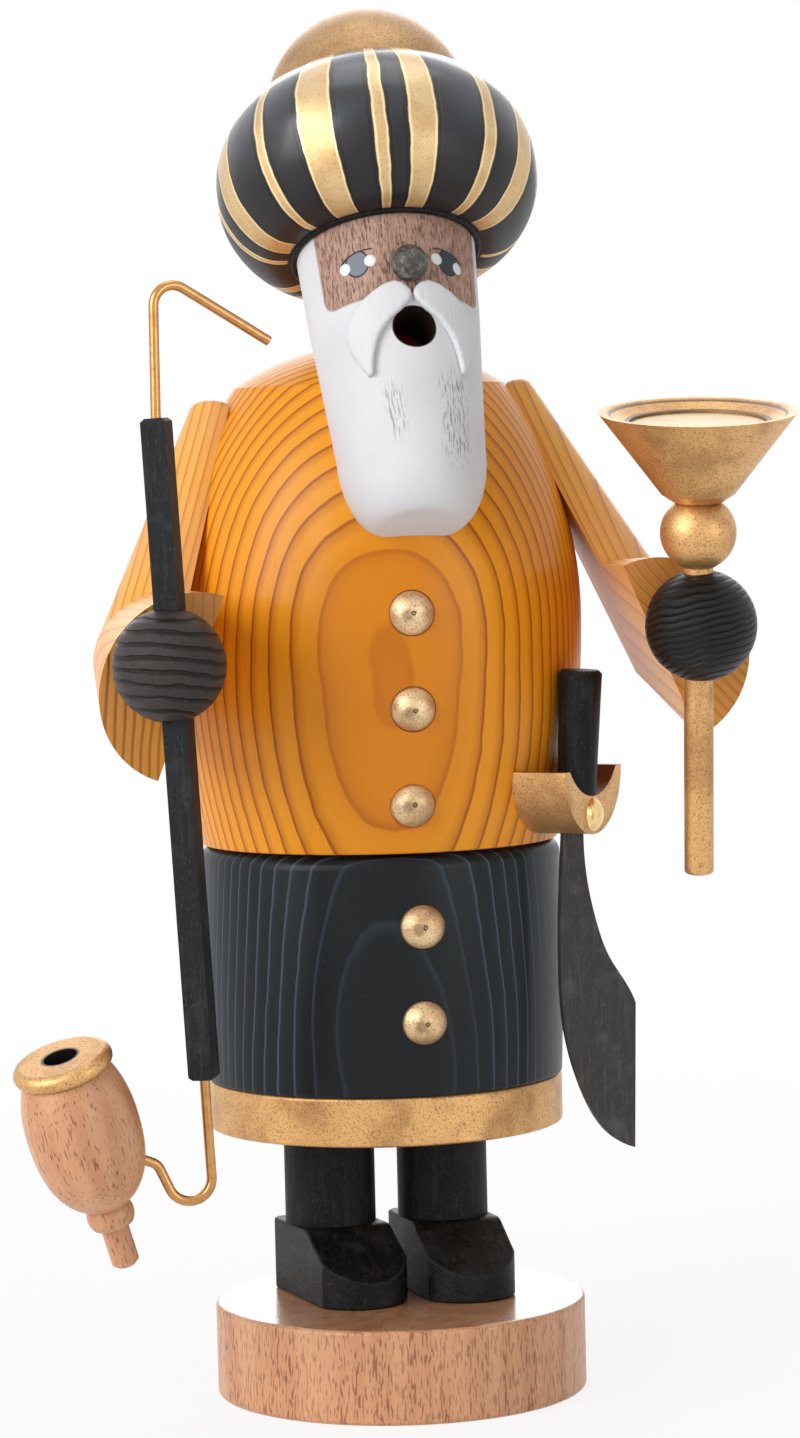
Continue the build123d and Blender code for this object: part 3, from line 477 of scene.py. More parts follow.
class SMOKER_OT_stage(bpy.types.Operator):
    """Makes the camera, the pale floor and the soft studio light"""

    bl_idname = "smoker.stage"
    bl_label = "Stage"

    def execute(self, context):
        scene = context.scene
        scene.view_settings.view_transform = "Standard"
        heading, pitch, roll = (math.radians(angle) for angle in CAMERA_ANGLES)
        flat = math.cos(pitch)
        forward = Vector((math.sin(heading) * flat, math.cos(heading) * flat, -math.sin(pitch)))
        right = Vector((math.cos(heading), -math.sin(heading), 0))
        up = right.cross(forward)
        rolled = right * math.cos(roll) + up * math.sin(roll)
        up = up * math.cos(roll) - right * math.sin(roll)
        camera = bpy.data.cameras.new("view_camera")
        camera.lens = CAMERA_LENS
        camera.sensor_width = CAMERA_SENSOR
        camera.sensor_fit = "AUTO"
        viewer = bpy.data.objects.new("view_camera", camera)
        turn = Matrix((rolled, up, -forward)).transposed().to_4x4()
        viewer.matrix_world = Matrix.Translation(CAMERA_PLACE * MM) @ turn
        scene.collection.objects.link(viewer)
        scene.camera = viewer
        self.lamps(scene)
        self.world(scene)
        self.floor(scene)
        return {"FINISHED"}

    def lamps(self, scene):
        """Softboxes: a large key at the left, a weak fill at the right, a top and a back light."""
        for name, place, size, power in LAMPS:
            light = bpy.data.lights.new(name, "AREA")
            light.shape = "SQUARE"
            light.size = size
            light.energy = power
            lamp = bpy.data.objects.new(name, light)
            lamp.location = place
            lamp.rotation_euler = (LAMPS_AIM - Vector(place)).to_track_quat("-Z", "Y").to_euler()
            scene.collection.objects.link(lamp)

    def world(self, scene):
        """Even light all round, seen and mirrored as white."""
        world = bpy.data.worlds.new("studio")
        world.use_nodes = True
        room = Nodes(world.node_tree)
        soft = room.node("ShaderNodeBackground", None, {"Strength": ROOM_LIGHT, "Color": WHITE})
        white = room.node("ShaderNodeBackground", None, {"Strength": 1, "Color": WHITE})
        values = {0: room.seen(), 1: soft.outputs[0], 2: white.outputs[0]}
        mixed = room.node("ShaderNodeMixShader", None, values)
        room.node("ShaderNodeOutputWorld", None, {0: mixed.outputs[0]})
        scene.world = world

    def floor(self, scene):
        """Pale floor that shows as white but keeps the figure's shadow."""
        shape = bmesh.new()
        bmesh.ops.create_circle(shape, cap_ends=True, radius=FLOOR_RADIUS, segments=96)
        mesh = bpy.data.meshes.new("floor")
        shape.to_mesh(mesh)
        shape.free()
        floor = bpy.data.objects.new("floor", mesh)
        scene.collection.objects.link(floor)
        paper = Finish("floor_paper")
        fade = paper.smooth(paper.distance((0, 0, 0)), *FLOOR_FADE)
        share = paper.seen() * (FLOOR_SHADE + fade * (1 - FLOOR_SHADE))
        diffuse = paper.node("ShaderNodeBsdfDiffuse", None, {"Color": (0.9, 0.9, 0.9, 1)})
        glow = paper.node("ShaderNodeEmission", None, {"Color": WHITE, "Strength": 1})
        values = {0: share, 1: diffuse.outputs[0], 2: glow.outputs[0]}
        mixed = paper.node("ShaderNodeMixShader", None, values)
        paper.node("ShaderNodeOutputMaterial", None, {0: mixed.outputs[0]})
        mesh.materials.append(paper.material)


class SMOKER_OT_coat(bpy.types.Operator):
    """Stains the coat's body orange, with growth rings that close round its front"""

    bl_idname = "smoker.coat"
    bl_label = "Coat"

    def execute(self, context):
        colours = context.scene.smoker_colours
        light = tuple(colours.orange)
        dark = tuple(colours.orange_ring)
        stains = (light, blend(light, dark, 0.45), dark, tone(212, 122, 2))
        spacing = context.scene.smoker_sizes.coat_ring
        coat = stained_rings("coat_stain", stains, COAT_FACING, COAT_HEART, spacing, 2.4, 0.32)
        dress(coat, "upper_body")
        return {"FINISHED"}


class SMOKER_OT_sleeves(bpy.types.Operator):
    """Stains the arms orange, with the grain along each piece"""

    bl_idname = "smoker.sleeves"
    bl_label = "Sleeves"

    def execute(self, context):
        light = tone(242, 172, 72)
        dark = tone(172, 92, 20)
        # The fourth stain is the pale colour of the painted sheen
        stains = (light, blend(light, dark, 0.35), dark, tone(222, 158, 112))
        sleeves = (
            ("right_upper_arm", RIGHT_UPPER, RIGHT_OUT),
            ("right_forearm", RIGHT_FORE, RIGHT_OUT),
            ("left_upper_arm", LEFT_UPPER, LEFT_OUT),
            ("left_forearm", LEFT_FORE, LEFT_OUT),
        )
        for name, along, out in sleeves:
            across = (out + along.cross(out) * 0.3).normalized()
            dress(stained_grain(name + "_stain", stains, along, across, 1.35, 0.35), name)
        return {"FINISHED"}


class SMOKER_OT_skirt(bpy.types.Operator):
    """Stains the skirt blue-black, with its rings still showing"""

    bl_idname = "smoker.skirt"
    bl_label = "Skirt"

    def execute(self, context):
        base = tuple(context.scene.smoker_colours.skirt)
        stains = (base, tone(18, 27, 36), tone(62, 76, 92), tone(8, 12, 14))
        spacing = context.scene.smoker_sizes.skirt_ring
        skirt = stained_rings("skirt_stain", stains, SKIRT_FACING, SKIRT_HEART, spacing, 2.6, 0.22)
        dress(skirt, "lower_body")
        return {"FINISHED"}


def off_axis(finish, point, axis):
    """Height along an axis through a point, and distance from that axis."""
    height = finish.along(axis, point)
    reach = finish.distance(point)
    return height, (reach * reach - height * height).math("MAXIMUM", 0).math("SQRT")


def bore_marks(finish):
    """Near-black surface inside the pipe's bowl, down to the floor of its bore."""
    height, off = off_axis(finish, BOWL_TOP, BOWL_AXIS)
    inside = finish.smooth(off, BORE_RADIUS + 0.2, BORE_RADIUS - 0.2)
    return [(inside * finish.smooth(height, BORE_FLOOR - 2, BORE_FLOOR + 2), tone(20, 15, 13))]


def dish_marks(finish):
    """Pale floor of the goblet's dish, with a dark line round it and under the lip."""
    height, off = off_axis(finish, GOBLET_FOOT, GOBLET_AXIS)
    above = finish.smooth(height, DISH_FLOOR - 0.1, DISH_FLOOR + 0.05)
    dish = above * finish.smooth(off, DISH_RADIUS + 0.15, DISH_RADIUS - 0.15)
    floor = dish * finish.smooth(off, 9.9, 9.5)
    line = dish * finish.band(off, *DISH_LINE, 0.15)
    wall = finish.smooth(off, 12.2, 12.5) * finish.smooth(off, 13.3, 13.1)
    lip = finish.band(height, *LIP_LINE, 0.1) * wall
    pale, dark, brown = tone(236, 214, 176), tone(46, 32, 22), tone(58, 40, 26)
    return [(floor * 0.6, pale), (line * 0.85, dark), (lip * 0.8, brown)]


def guard_marks(finish):
    """Reddish brown on the faces inside the sabre's guard that turn upwards."""
    inside = finish.smooth(finish.facing((0.2, 0.1, 0.97)), 0.1, 0.3)
    return [(inside, tone(112, 52, 30))]


class SMOKER_OT_beech(bpy.types.Operator):
    """Leaves the base and the pipe's bowl as clear-coated beech with short dark flecks"""

    bl_idname = "smoker.beech"
    bl_label = "Beech"

    def execute(self, context):
        light = tuple(context.scene.smoker_colours.beech)
        fleck = tone(134, 82, 50)
        warm = tone(194, 130, 90)
        woods = (
            ("base_disc", UP, (70, 46, 0), 0),
            ("pipe_bowl", BOWL_AXIS, (-40, 0, 40), 0.05),
        )
        for name, along, centre, sparse in woods:
            wood = Finish(name + "_beech")
            drawn = wood.fibres(along, 0.17)
            spots = wood.noise(3.3, 1, 0.5, drawn) - sparse
            broad = wood.noise(0.35, 2, 0.5, wood.fibres(along, 0.08))
            grain = wood.mix(wood.smooth(broad, 0.35, 0.7) * 0.7, light, warm)
            dense = wood.smooth(spots, 0.54, 0.62) * (0.5 + wood.smooth(broad, 0.4, 0.65) * 0.4)
            grain = wood.mix(dense, grain, fleck)
            rings = (wood.distance(centre) / 3.1 + (wood.noise(0.05, 1) - 0.5) * 2).math("FRACT")
            ends = wood.smooth(abs(wood.facing(along)), 0.7, 0.95)
            grain = wood.mix(wood.smooth(rings, 0.72, 0.97) * ends * 0.4, grain, warm)
            gloss = 0.42 - ends * 0.2 + spots * 0.1
            if name == "pipe_bowl":
                share, bore_black = bore_marks(wood)[0]
                grain = wood.mix(share, grain, bore_black)
            dress(wood.surface(grain, gloss, coat=0.25 + ends * 0.5, relief=spots, depth=0.05), name)
        return {"FINISHED"}


class SMOKER_OT_black_parts(bpy.types.Operator):
    """Stains shoes, legs, pipe stem, hilt and hands black or grey-brown"""

    bl_idname = "smoker.black_parts"
    bl_label = "Black parts"

    def execute(self, context):
        black = tuple(context.scene.smoker_colours.black)
        shoe_grain = Vector((0, 1, 0))
        dress(black_stain("shoe_stain", black, shoe_grain, 0.34, 0.14), "right_shoe", "left_shoe")
        dress(black_stain("leg_stain", black, UP, 0.45), "right_leg", "left_leg")
        dress(black_stain("stem_stain", tone(24, 25, 28), UP, 0.4, 0.16), "pipe_stem")
        dress(black_stain("hilt_stain", tone(16, 17, 18), UP, 0.38, 0.04), "sabre_hilt")
        dress(black_stain("blade_stain", tone(60, 58, 57), UP, 0.42, 0.2), "sabre_blade")
        self.hands()
        return {"FINISHED"}

    def hands(self):
        """Bead hands, grooved by their growth rings; each has its own stain and ring spacing."""
        hands = (
            ("right_hand", tone(58, 51, 49), tone(4, 3, 3), 1.85, RIGHT_HAND_GRAIN),
            ("left_hand", tone(22, 22, 25), tone(2, 2, 3), 0.95, LEFT_HAND_GRAIN),
        )
        for name, pale, dark, spacing, across in hands:
            wood = Finish(name + "_stain")
            drift = (wood.noise(0.12, 2) - 0.5) * 2.6
            ring = ((wood.along(across) + drift) / spacing).math("FRACT")
            fine = wood.noise(2.4, 4, 0.7)
            line = wood.smooth(ring, 0.5, 0.85) * wood.smooth(ring, 1, 0.92)
            grain = wood.mix(line, pale, dark)
            grain = wood.mix(wood.smooth(fine, 0.52, 0.7) * 0.6, grain, dark)
            grain = wood.mix(wood.smooth(fine, 0.42, 0.32) * 0.5, grain, lighten(pale, 1.9))
            relief = fine * 0.5 - line * 1.4
            dress(wood.surface(grain, 0.3 + fine * 0.2, relief=relief, depth=0.32, shine=0.24), name)


class SMOKER_OT_turban(bpy.types.Operator):
    """Paints the turban's uneven gold stripes and sets the black lip round its seam"""

    bl_idname = "smoker.turban"
    bl_label = "Turban"

    def execute(self, context):
        dress(self.striped_paint(), "turban")
        profile = lip_profile(context.scene.smoker_sizes)
        lip = lathe("turban_lip", profile, 96, head_frame(), closed=True)
        lip.data.materials.append(black_stain("lip_paint", tone(14, 14, 16), HEAD_UP, 0.4, 0.03))
        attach(lip, "top")
        return {"FINISHED"}

    def striped_paint(self):
        """Black paint over turned wood, with raised gold stripes that run out before the foot, a painted
        bluish reflection on its upper half and a painted highlight along each stripe's edge.
        """
        cloth = Finish("turban_paint")
        side = cloth.along(HEAD_SIDE, HEAD_SEAM)
        front = cloth.along(HEAD_FRONT, HEAD_SEAM)
        height = cloth.along(HEAD_UP, HEAD_SEAM)
        wobble = (cloth.noise(0.25, 2) - 0.5) * 1.6
        angle = side.math("ARCTAN2", front) * DEGREES + wobble
        edge = None
        for middle, half in TURBAN_STRIPES:
            reach = abs(angle - middle) - half
            edge = reach if edge is None else edge.math("MINIMUM", reach)
        out = (side * side + front * front).math("SQRT")
        gold_share = cloth.smooth(edge, 0.25, -0.25) * cloth.smooth(out, 14.4, 14.9)
        outline = cloth.smooth(edge, 1.8, 1.5) * (1 - cloth.smooth(edge, 0.3, -0.2))
        fine = cloth.noise(2.8, 3, 0.7)
        cloud = cloth.noise(0.2, 3)
        upper = cloth.smooth(height, 6, 16)
        # Painted reflection: a mottled bluish light on the upper half, where the lamps are mirrored in
        # the black
        painted_sheen = upper * cloth.smooth(cloud, 0.3, 0.65)
        black = cloth.mix(painted_sheen, tone(26, 22, 25), tone(44, 51, 68))
        black = cloth.mix(cloth.smooth(fine, 0.46, 0.7) * 0.6, black, tone(12, 11, 13))
        black = cloth.mix(outline, black, tone(5, 5, 6))
        worn = cloth.smooth(cloud, 0.35, 0.7) * 0.5
        gold = cloth.mix(worn, tone(220, 188, 138), tone(184, 142, 88))
        gold = cloth.mix(cloth.smooth(fine, 0.56, 0.68) * 0.6, gold, tone(146, 106, 60))
        # Painted highlight: a pale rim just inside each stripe's edge, where the raised paint catches the
        # light
        gold = cloth.mix(cloth.band(edge, -1.0, -0.2, 0.25) * 0.8, gold, tone(248, 226, 178))
        colour = cloth.mix(gold_share, black, gold)
        relief = gold_share * 1.2 - outline * 0.8 + fine * 0.25
        gloss = 0.42 - upper * 0.12 + fine * 0.1
        lacquer = 0.12 + upper * 0.8
        metal = gold_share * 0.65
        return cloth.surface(colour, gloss, metal, lacquer, relief, depth=0.14, shine=0.35)


def head_frame():
    """Place of the head's seam, its axis up, in metres."""
    turn = Matrix((HEAD_SIDE, -HEAD_FRONT, HEAD_UP)).transposed().to_4x4()
    return Matrix.Translation(HEAD_SEAM * MM) @ turn


def lip_profile(sizes):
    """Round section of the lip, as radius and height."""
    half = sizes.seam_thickness
    middle = 0.1 * MM
    corners = 12
    points = []
    for step in range(corners):
        turn = 2 * math.pi * step / corners
        points.append((sizes.seam_radius + half * math.cos(turn), middle + half * math.sin(turn)))
    return points


def lathe(name, profile, steps, place, closed=False):
    """Turns a profile of radius and height round its axis and sets it in its place."""
    shape = bmesh.new()
    rings = []
    for radius, height in profile:
        if radius == 0:
            rings.append([shape.verts.new((0, 0, height))])
            continue
        ring = []
        for step in range(steps):
            turn = 2 * math.pi * step / steps
            ring.append(shape.verts.new((radius * math.cos(turn), radius * math.sin(turn), height)))
        rings.append(ring)
    pairs = list(zip(rings, rings[1:]))
    if closed:
        pairs.append((rings[-1], rings[0]))
    for low, high in pairs:
        for step in range(steps):
            after = (step + 1) % steps
            corners = [low[step % len(low)], low[after % len(low)]]
            corners += [high[after % len(high)], high[step % len(high)]]
            shape.faces.new(list(dict.fromkeys(corners)))
    bmesh.ops.recalc_face_normals(shape, faces=shape.faces)
    for face in shape.faces:
        face.smooth = True
    shape.transform(place)
    mesh = bpy.data.meshes.new(name)
    shape.to_mesh(mesh)
    shape.free()
    made = bpy.data.objects.new(name, mesh)
    bpy.context.scene.collection.objects.link(made)
    return made


def rounded_copy(node, sizes):
    """Fuller copy of a carved piece, its sharp edges rubbed round."""
    shape = bmesh.new()
    shape.from_mesh(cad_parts[node].data)
    bmesh.ops.remove_doubles(shape, verts=shape.verts, dist=1e-6)
    mesh = bpy.data.meshes.new(node + "_carved")
    shape.to_mesh(mesh)
    shape.free()
    draft = bpy.data.objects.new(node + "_draft", mesh)
    bpy.context.scene.collection.objects.link(draft)
    grid = draft.modifiers.new("grid", "REMESH")
    grid.mode = "VOXEL"
    grid.voxel_size = sizes.carving_grid
    rub = draft.modifiers.new("rub", "SMOOTH")
    rub.factor = 0.5
    rub.iterations = 9
    swell = draft.modifiers.new("swell", "DISPLACE")
    swell.strength = sizes.carving_swell
    swell.mid_level = 0
    bpy.context.view_layer.update()
    made = bpy.data.meshes.new_from_object(draft.evaluated_get(bpy.context.evaluated_depsgraph_get()))
    bpy.data.objects.remove(draft)
    made.name = node + "_rounded"
    made.materials.clear()
    made.shade_smooth()
    piece = bpy.data.objects.new(node + "_rounded", made)
    bpy.context.scene.collection.objects.link(piece)
    return piece


class SMOKER_OT_head(bpy.types.Operator):
    """Paints the head: bare brown face, white beard, eyes, brows and mouth"""

    bl_idname = "smoker.head"
    bl_label = "Head"

    def execute(self, context):
        colours = context.scene.smoker_colours
        white = tuple(colours.beard)
        head = Finish("head_paint")
        side = head.along(HEAD_SIDE, HEAD_SEAM)
        front = head.along(HEAD_FRONT, HEAD_SEAM)
        drop = head.along(-HEAD_UP, HEAD_SEAM)
        angle = side.math("ARCTAN2", front) * DEGREES
        arc = HEAD_RADIUS / DEGREES
        wood, pores = self.bare_wood(head, tuple(colours.face))
        paint, strokes = self.brushed_white(head, white, angle, drop)

        # The bare patch on the front, rounded at its lower corners, with a thin shade round it
        past_side = (abs(angle - FACE_MIDDLE) * arc - FACE_HALF).math("MAXIMUM", 0)
        past_edge = (drop - FACE_DROP).math("MAXIMUM", 0)
        corner = (past_side ** 2 + past_edge ** 2).math("SQRT")
        on_front = head.smooth(front, -1, 0.5)
        patch = head.smooth(corner, FACE_CORNER + 0.1, FACE_CORNER - 0.1) * on_front
        edge = head.band(corner, FACE_CORNER - 0.15, FACE_CORNER + 0.2, 0.12) * on_front
        colour = head.mix(patch, paint, wood)
        colour = head.mix(edge * 0.35, colour, tone(120, 96, 84))
        grit = head.noise(3.5, 3, 0.7)
        relief = pores * patch * 0.6 + (strokes * 0.3 + grit * 0.5) * (1 - patch)

        colour = self.eyes(head, colour, angle, arc, drop)
        for middle, height in EYE_DOTS:
            across = (angle - middle) * arc
            dot = (across * across + (drop - height) ** 2).math("SQRT")
            colour = head.mix(head.smooth(dot, 0.95, 0.85), colour, tone(236, 238, 238))
            relief = relief + head.smooth(dot, 1, 0.6) * 1.2

        # Mouth hole, dark red inside, with a thin dark rim
        mouth = (side * side + (drop - MOUTH_DROP) ** 2).math("SQRT")
        inside = head.smooth(mouth, MOUTH_RADIUS + 0.1, MOUTH_RADIUS - 0.1) * head.smooth(front, -6, -4)
        rim = head.band(mouth, MOUTH_RADIUS - 0.13, MOUTH_RADIUS + 0.1, 0.08) * head.smooth(front, 2, 4)
        colour = head.mix(inside, colour, tone(214, 44, 52))
        colour = head.mix(rim, colour, tone(30, 12, 12))
        dress(head.surface(colour, 0.5 + strokes * 0.15, relief=relief, depth=0.1, shine=0.4), "head")
        self.moustache(white, context.scene.smoker_sizes)
        self.nose()
        return {"FINISHED"}

    def bare_wood(self, head, brown):
        """Open-pored brown wood: its colour and its pores."""
        drawn = head.fibres(HEAD_UP, 0.16)
        pores = head.noise(3.4, 3, 0.7, drawn)
        broad = head.noise(0.3, 2, 0.5, drawn)
        wood = head.mix(head.smooth(broad, 0.35, 0.7) * 0.5, brown, tone(158, 122, 106))
        wood = head.mix(head.smooth(pores, 0.5, 0.6) * 0.85, wood, tone(92, 62, 50))
        wood = head.mix(head.smooth(pores, 0.44, 0.34) * 0.6, wood, tone(206, 174, 156))
        return wood, pores

    def brushed_white(self, head, white, angle, drop):
        """White paint with two worn places on the beard: its colour and its brush strokes."""
        strokes = head.noise(4.4, 2, 0.6, head.fibres(HEAD_UP, 0.06))
        worn = head.band(angle, -27, -14, 4) * head.band(drop, 26.5, 34.5, 2) * 0.8
        worn = worn.math("MAXIMUM", head.band(angle, 14, 40, 5) * head.band(drop, 25, 38, 2.5))
        marks = worn * head.smooth(strokes, 0.54, 0.62)
        shade = head.noise(0.12, 2)
        paint = head.mix(head.smooth(shade, 0.4, 0.7) * 0.3, white, tone(206, 206, 211))
        return head.mix(marks * 0.75, paint, tone(92, 92, 100)), strokes

    def eyes(self, head, colour, angle, arc, drop):
        """Irises, each cut off by a lid that is one fine curved line."""
        irises = (tone(122, 128, 140), tone(40, 48, 56))
        for (middle, height, hand), iris in zip(EYE_PLACES, irises):
            across = (angle - middle) * arc
            down = drop - height
            inward = across * -hand
            lid = (((inward - 1.6) / 4.3) ** 2 + ((down - 0.1) / 2.0) ** 2).math("SQRT")
            under = head.smooth(lid, 1.0, 0.95).math("MAXIMUM", head.smooth(down, 0, 0.3))
            oval = ((across / IRIS[0]) ** 2 + (down / IRIS[1]) ** 2).math("SQRT")
            colour = head.mix(head.smooth(oval, 1.1, 1.02) * under, colour, tone(20, 20, 24))
            colour = head.mix(head.smooth(oval, 0.97, 0.88) * under, colour, iris)
            brow = head.band(lid, 0.93, 1.05, 0.03) * head.smooth(down, 0.3, 0)
            line = brow * head.band(inward, -2.7, 2.6, 0.15)
            colour = head.mix(line, colour, tone(26, 22, 22))
        return colour

    def moustache(self, white, sizes):
        """Sets the two rounded halves, painted white with faint strands."""
        hair = Finish("moustache_paint")
        drawn = hair.fibres(Vector((0, 0.3, 1)).normalized(), 0.2)
        strands = hair.noise(1.5, 4, 0.7, drawn)
        hairs = hair.mix(hair.smooth(strands, 0.6, 0.75) * 0.35, white, tone(150, 150, 156))
        material = hair.surface(hairs, 0.5, relief=strands, depth=0.12, shine=0.4)
        for node in ("moustache_right", "moustache_left"):
            half = rounded_copy(node, sizes)
            half.data.materials.append(material)
            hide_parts(node)
            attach(half, "top")

    def nose(self):
        """Mottled grey stain of the nose's bead."""
        nose = Finish("nose_stain")
        cloud = nose.noise(0.9, 4, 0.7)
        stops = ((0.32, tone(22, 20, 18)), (0.5, tone(62, 57, 50)), (0.68, tone(122, 115, 102)))
        skin = nose.ramp(cloud, stops)
        dress(nose.surface(skin, 0.35 + cloud * 0.2, coat=0.3, relief=cloud, depth=0.3), "nose")


class SMOKER_OT_gold(bpy.types.Operator):
    """Paints hem, knob, goblet, bowl rim and sabre guard gold"""

    bl_idname = "smoker.gold"
    bl_label = "Gold paint"

    def execute(self, context):
        gold = tuple(context.scene.smoker_colours.gold)
        brown = tone(132, 82, 46)
        dress(gold_paint("gold_paint", (gold, brown)), "hem_disc")
        # The knob gets a darker copy of the same gold: painted shade that holds back the bright
        # reflections on its upward-facing top
        dress(gold_paint("knob_gold_shaded", (tone(184, 148, 104), brown)), "turban_knob")
        dress(gold_paint("rim_gold", (gold, brown), 0.5, bore_marks), "pipe_bowl_rim")
        dress(gold_paint("stem_gold", (gold, brown)), "goblet_bead", "goblet_rod")
        dress(gold_paint("goblet_gold", (gold, brown), 0.5, dish_marks), "goblet_cup")
        dress(gold_paint("guard_gold", (gold, brown), 0.5, guard_marks), "sabre_guard")
        return {"FINISHED"}


class SMOKER_OT_metal(bpy.types.Operator):
    """Finishes wires and nails as brass, the burner plate as tinplate and the dowels as bare wood"""

    bl_idname = "smoker.metal"
    bl_label = "Metal and dowels"

    def execute(self, context):
        brass = bare_metal("brass", tone(198, 146, 92), 0.2)
        dress(brass, "pipe_mouthpiece", "pipe_elbow", "burner_tack")
        dress(bare_metal("nail_brass", tone(240, 208, 146), 0.18), "sabre_nail")
        dress(bare_metal("tinplate", tone(186, 188, 190), 0.3), "burner_plate")
        peg = Finish("dowel_wood")
        fibre = peg.noise(1.5, 3, 0.6, peg.fibres(UP, 0.1))
        wood = peg.mix(peg.smooth(fibre, 0.4, 0.7), tone(224, 190, 142), tone(186, 142, 94))
        names = [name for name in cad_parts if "dowel" in name]
        dress(peg.surface(wood, 0.6, relief=fibre, depth=0.05), *names)
        return {"FINISHED"}


def islands(mesh):
    """Loose pieces of a mesh as lists of corner positions."""
    shape = bmesh.new()
    shape.from_mesh(mesh)
    bmesh.ops.remove_doubles(shape, verts=shape.verts, dist=1e-6)
    left = set(shape.verts)
    found = []
    while left:
        front = [left.pop()]
        island = []
        while front:
            corner = front.pop()
            island.append(corner.co.copy())
            for edge in corner.link_edges:
                other = edge.other_vert(corner)
                if other in left:
                    left.remove(other)
                    front.append(other)
        found.append(island)
    shape.free()
    return found


def button_seats(node):
    """Middle of each button's back and the way that it faces, from the carried-over node."""
    seats = []
    for island in islands(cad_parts[node].data):
        reach = [point.x ** 2 + (point.y - BODY_AXIS_Y) ** 2 for point in island]
        limit = min(reach) * 1.02 + 1e-8
        foot = average(point for point, square in zip(island, reach) if square < limit)
        far = max((point - foot).length for point in island)
        tip = average(point for point in island if (point - foot).length > far - 0.1 * MM)
        seats.append((tip, (tip - foot).normalized()))
    return seats


def average(points):
    """Middle of a set of points."""
    points = list(points)
    return sum(points, Vector()) / len(points)


def pit_marks(seats, finish):
    """Dark hole in the middle of each button, and a brown stain beside it."""
    marks = []
    for tip, facing in seats:
        stain = finish.distance(tip / MM + Vector((-1.0, 0, -0.3)))
        marks.append((finish.smooth(stain, 1.3, 0.5) * 0.5, tone(92, 60, 34)))
        marks.append((finish.smooth(finish.distance(tip / MM), 0.42, 0.3), tone(18, 14, 12)))
    return marks


def button_tree(material):
    """Nodes that set one turned button on every seat, facing outwards."""
    tree = bpy.data.node_groups.new("set_buttons", "GeometryNodeTree")
    sockets = tree.interface
    sockets.new_socket("Seats", in_out="INPUT", socket_type="NodeSocketGeometry")
    sockets.new_socket("Button", in_out="INPUT", socket_type="NodeSocketObject")
    size = sockets.new_socket("Size", in_out="INPUT", socket_type="NodeSocketFloat")
    size.default_value = 1
    sockets.new_socket("Buttons", in_out="OUTPUT", socket_type="NodeSocketGeometry")
    nodes = Nodes(tree)
    given = nodes.node("NodeGroupInput").outputs
    kind = {"data_type": "FLOAT_VECTOR"}
    facing = nodes.node("GeometryNodeInputNamedAttribute", kind, {"Name": "facing"})
    upright = {"axis": "Z"}
    turn = nodes.node("FunctionNodeAlignRotationToVector", upright, {"Vector": facing.outputs[0]})
    shape = nodes.node("GeometryNodeObjectInfo", None, {"Object": given["Button"]})
    values = {"Points": given["Seats"], "Instance": shape.outputs["Geometry"]}
    values["Rotation"] = turn.outputs[0]
    values["Scale"] = given["Size"]
    spread = nodes.node("GeometryNodeInstanceOnPoints", None, values)
    real = nodes.node("GeometryNodeRealizeInstances", None, {0: spread.outputs[0]})
    values = {"Geometry": real.outputs[0], "Material": material}
    painted = nodes.node("GeometryNodeSetMaterial", None, values)
    nodes.node("NodeGroupOutput", None, {0: painted.outputs[0]})
    return tree


def button_profile(sizes):
    """Half section of a button, as radius and height under the dome's top: shank, dome, small pit."""
    radius, height = sizes.button_radius, sizes.button_height
    shank = 1.15 * MM
    pit = 0.32 * MM
    profile = [(0, -height - sizes.button_shank), (shank, -height - sizes.button_shank)]
    profile += [(shank, -height), (radius * 0.97, -height), (radius, -height + 0.12 * MM)]
    bulge = (radius ** 2 + height ** 2) / (2 * height)
    steps = 12
    for step in range(1, steps):
        out = radius * 0.985 * (1 - step / steps) + pit * step / steps
        profile.append((out, math.sqrt(bulge ** 2 - out ** 2) - bulge))
    profile += [(0.26 * MM, -0.12 * MM), (0.2 * MM, -0.4 * MM), (0, -0.44 * MM)]
    return profile


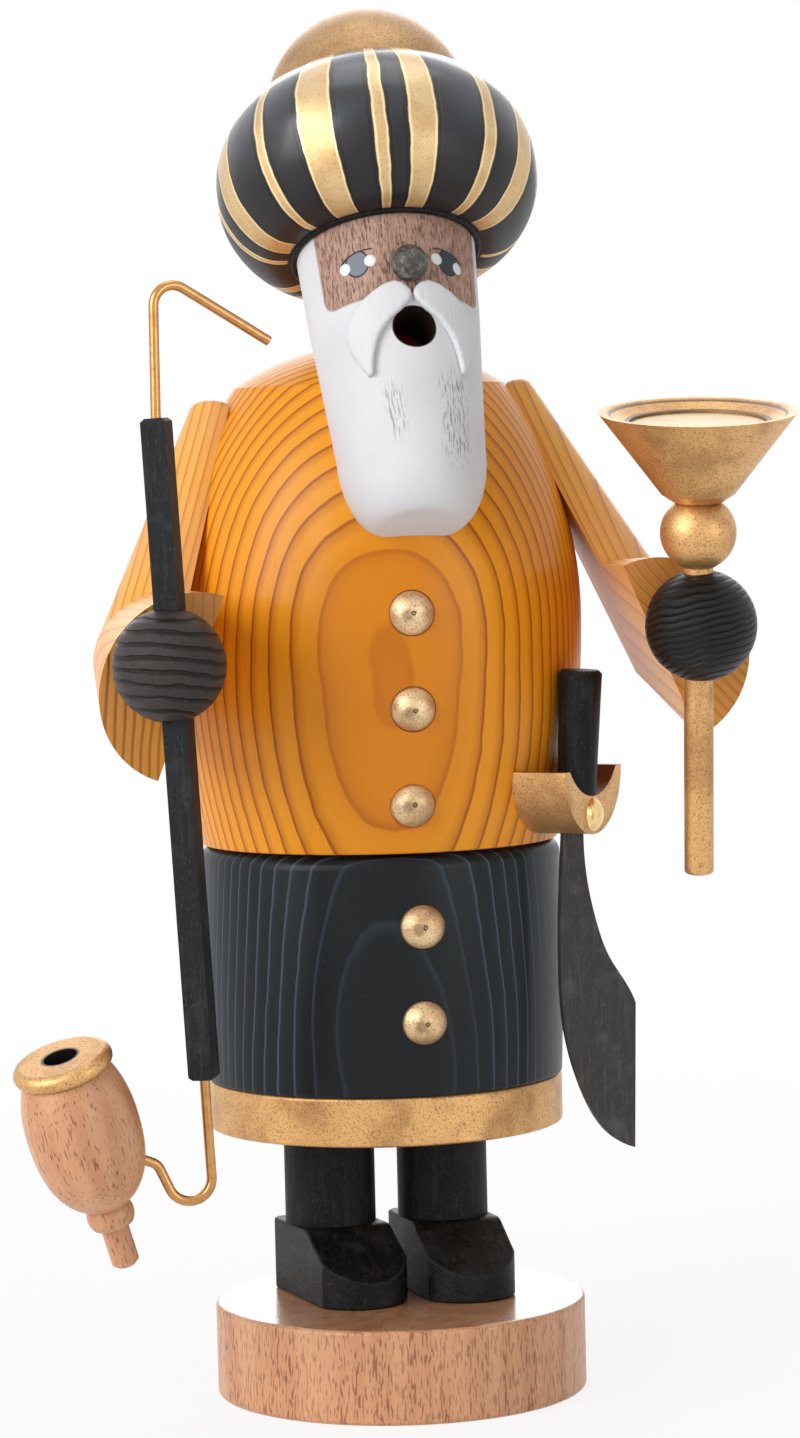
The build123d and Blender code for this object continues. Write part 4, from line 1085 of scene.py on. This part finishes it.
class SMOKER_OT_buttons(bpy.types.Operator):
    """Sets the domed, gold-painted buttons on coat and skirt"""

    bl_idname = "smoker.buttons"
    bl_label = "Buttons"

    def execute(self, context):
        profile = button_profile(context.scene.smoker_sizes)
        button = lathe("button_shape", profile, 48, Matrix.Identity(4))
        for node, body in (("coat_buttons", "top"), ("skirt_buttons", "lower")):
            piece = self.turned(context, node, button)
            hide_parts(node)
            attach(piece, body)
        bpy.data.objects.remove(button)
        return {"FINISHED"}

    def turned(self, context, node, button):
        """One mesh of all buttons of a node, set on their seats."""
        seats = button_seats(node)
        colours = (tone(236, 204, 158), tone(150, 104, 64))
        material = gold_paint(node + "_gold", colours, 0.6, partial(pit_marks, seats))
        mesh = bpy.data.meshes.new(node + "_seats")
        mesh.from_pydata([tip for tip, facing in seats], [], [])
        mesh.attributes.new("facing", "FLOAT_VECTOR", "POINT")
        for index, (tip, facing) in enumerate(seats):
            mesh.attributes["facing"].data[index].vector = facing
        holder = bpy.data.objects.new(node + "_seats", mesh)
        context.scene.collection.objects.link(holder)
        tree = button_tree(material)
        modifier = holder.modifiers.new("buttons", "NODES")
        modifier.node_group = tree
        for item in tree.interface.items_tree:
            if item.in_out == "INPUT" and item.name == "Button":
                modifier[item.identifier] = button
        context.view_layer.update()
        result = holder.evaluated_get(context.evaluated_depsgraph_get())
        made = bpy.data.meshes.new_from_object(result)
        made.name = node + "_turned"
        bpy.data.objects.remove(holder)
        piece = bpy.data.objects.new(node + "_turned", made)
        context.scene.collection.objects.link(piece)
        return piece


OPERATORS = (
    SMOKER_OT_stage,
    SMOKER_OT_coat,
    SMOKER_OT_sleeves,
    SMOKER_OT_skirt,
    SMOKER_OT_beech,
    SMOKER_OT_black_parts,
    SMOKER_OT_turban,
    SMOKER_OT_head,
    SMOKER_OT_gold,
    SMOKER_OT_metal,
    SMOKER_OT_buttons,
)


class SMOKER_PT_panel(bpy.types.Panel):
    """Lists the figure's pieces, sizes and colours"""

    bl_idname = "SMOKER_PT_panel"
    bl_label = "Incense smoker"
    bl_space_type = "VIEW_3D"
    bl_region_type = "UI"
    bl_category = "Smoker"

    def draw(self, context):
        for group in (context.scene.smoker_sizes, context.scene.smoker_colours):
            for name in group.bl_rna.properties.keys():
                if name not in ("rna_type", "name"):
                    self.layout.prop(group, name)
        for operator in OPERATORS:
            self.layout.operator(operator.bl_idname)


CLASSES = (SmokerSizes, SmokerColours) + OPERATORS + (SMOKER_PT_panel,)


def register():
    for item in CLASSES:
        bpy.utils.register_class(item)
    bpy.types.Scene.smoker_sizes = PointerProperty(type=SmokerSizes)
    bpy.types.Scene.smoker_colours = PointerProperty(type=SmokerColours)


def unregister():
    del bpy.types.Scene.smoker_colours
    del bpy.types.Scene.smoker_sizes
    for item in reversed(CLASSES):
        bpy.utils.unregister_class(item)


def main():
    """Makes the whole scene."""
    register()
    for operator in OPERATORS:
        group, name = operator.bl_idname.split(".")
        if getattr(getattr(bpy.ops, group), name)() != {"FINISHED"}:
            raise RuntimeError(f"{operator.bl_label} was not finished")


if __name__ == "__main__":
    main()
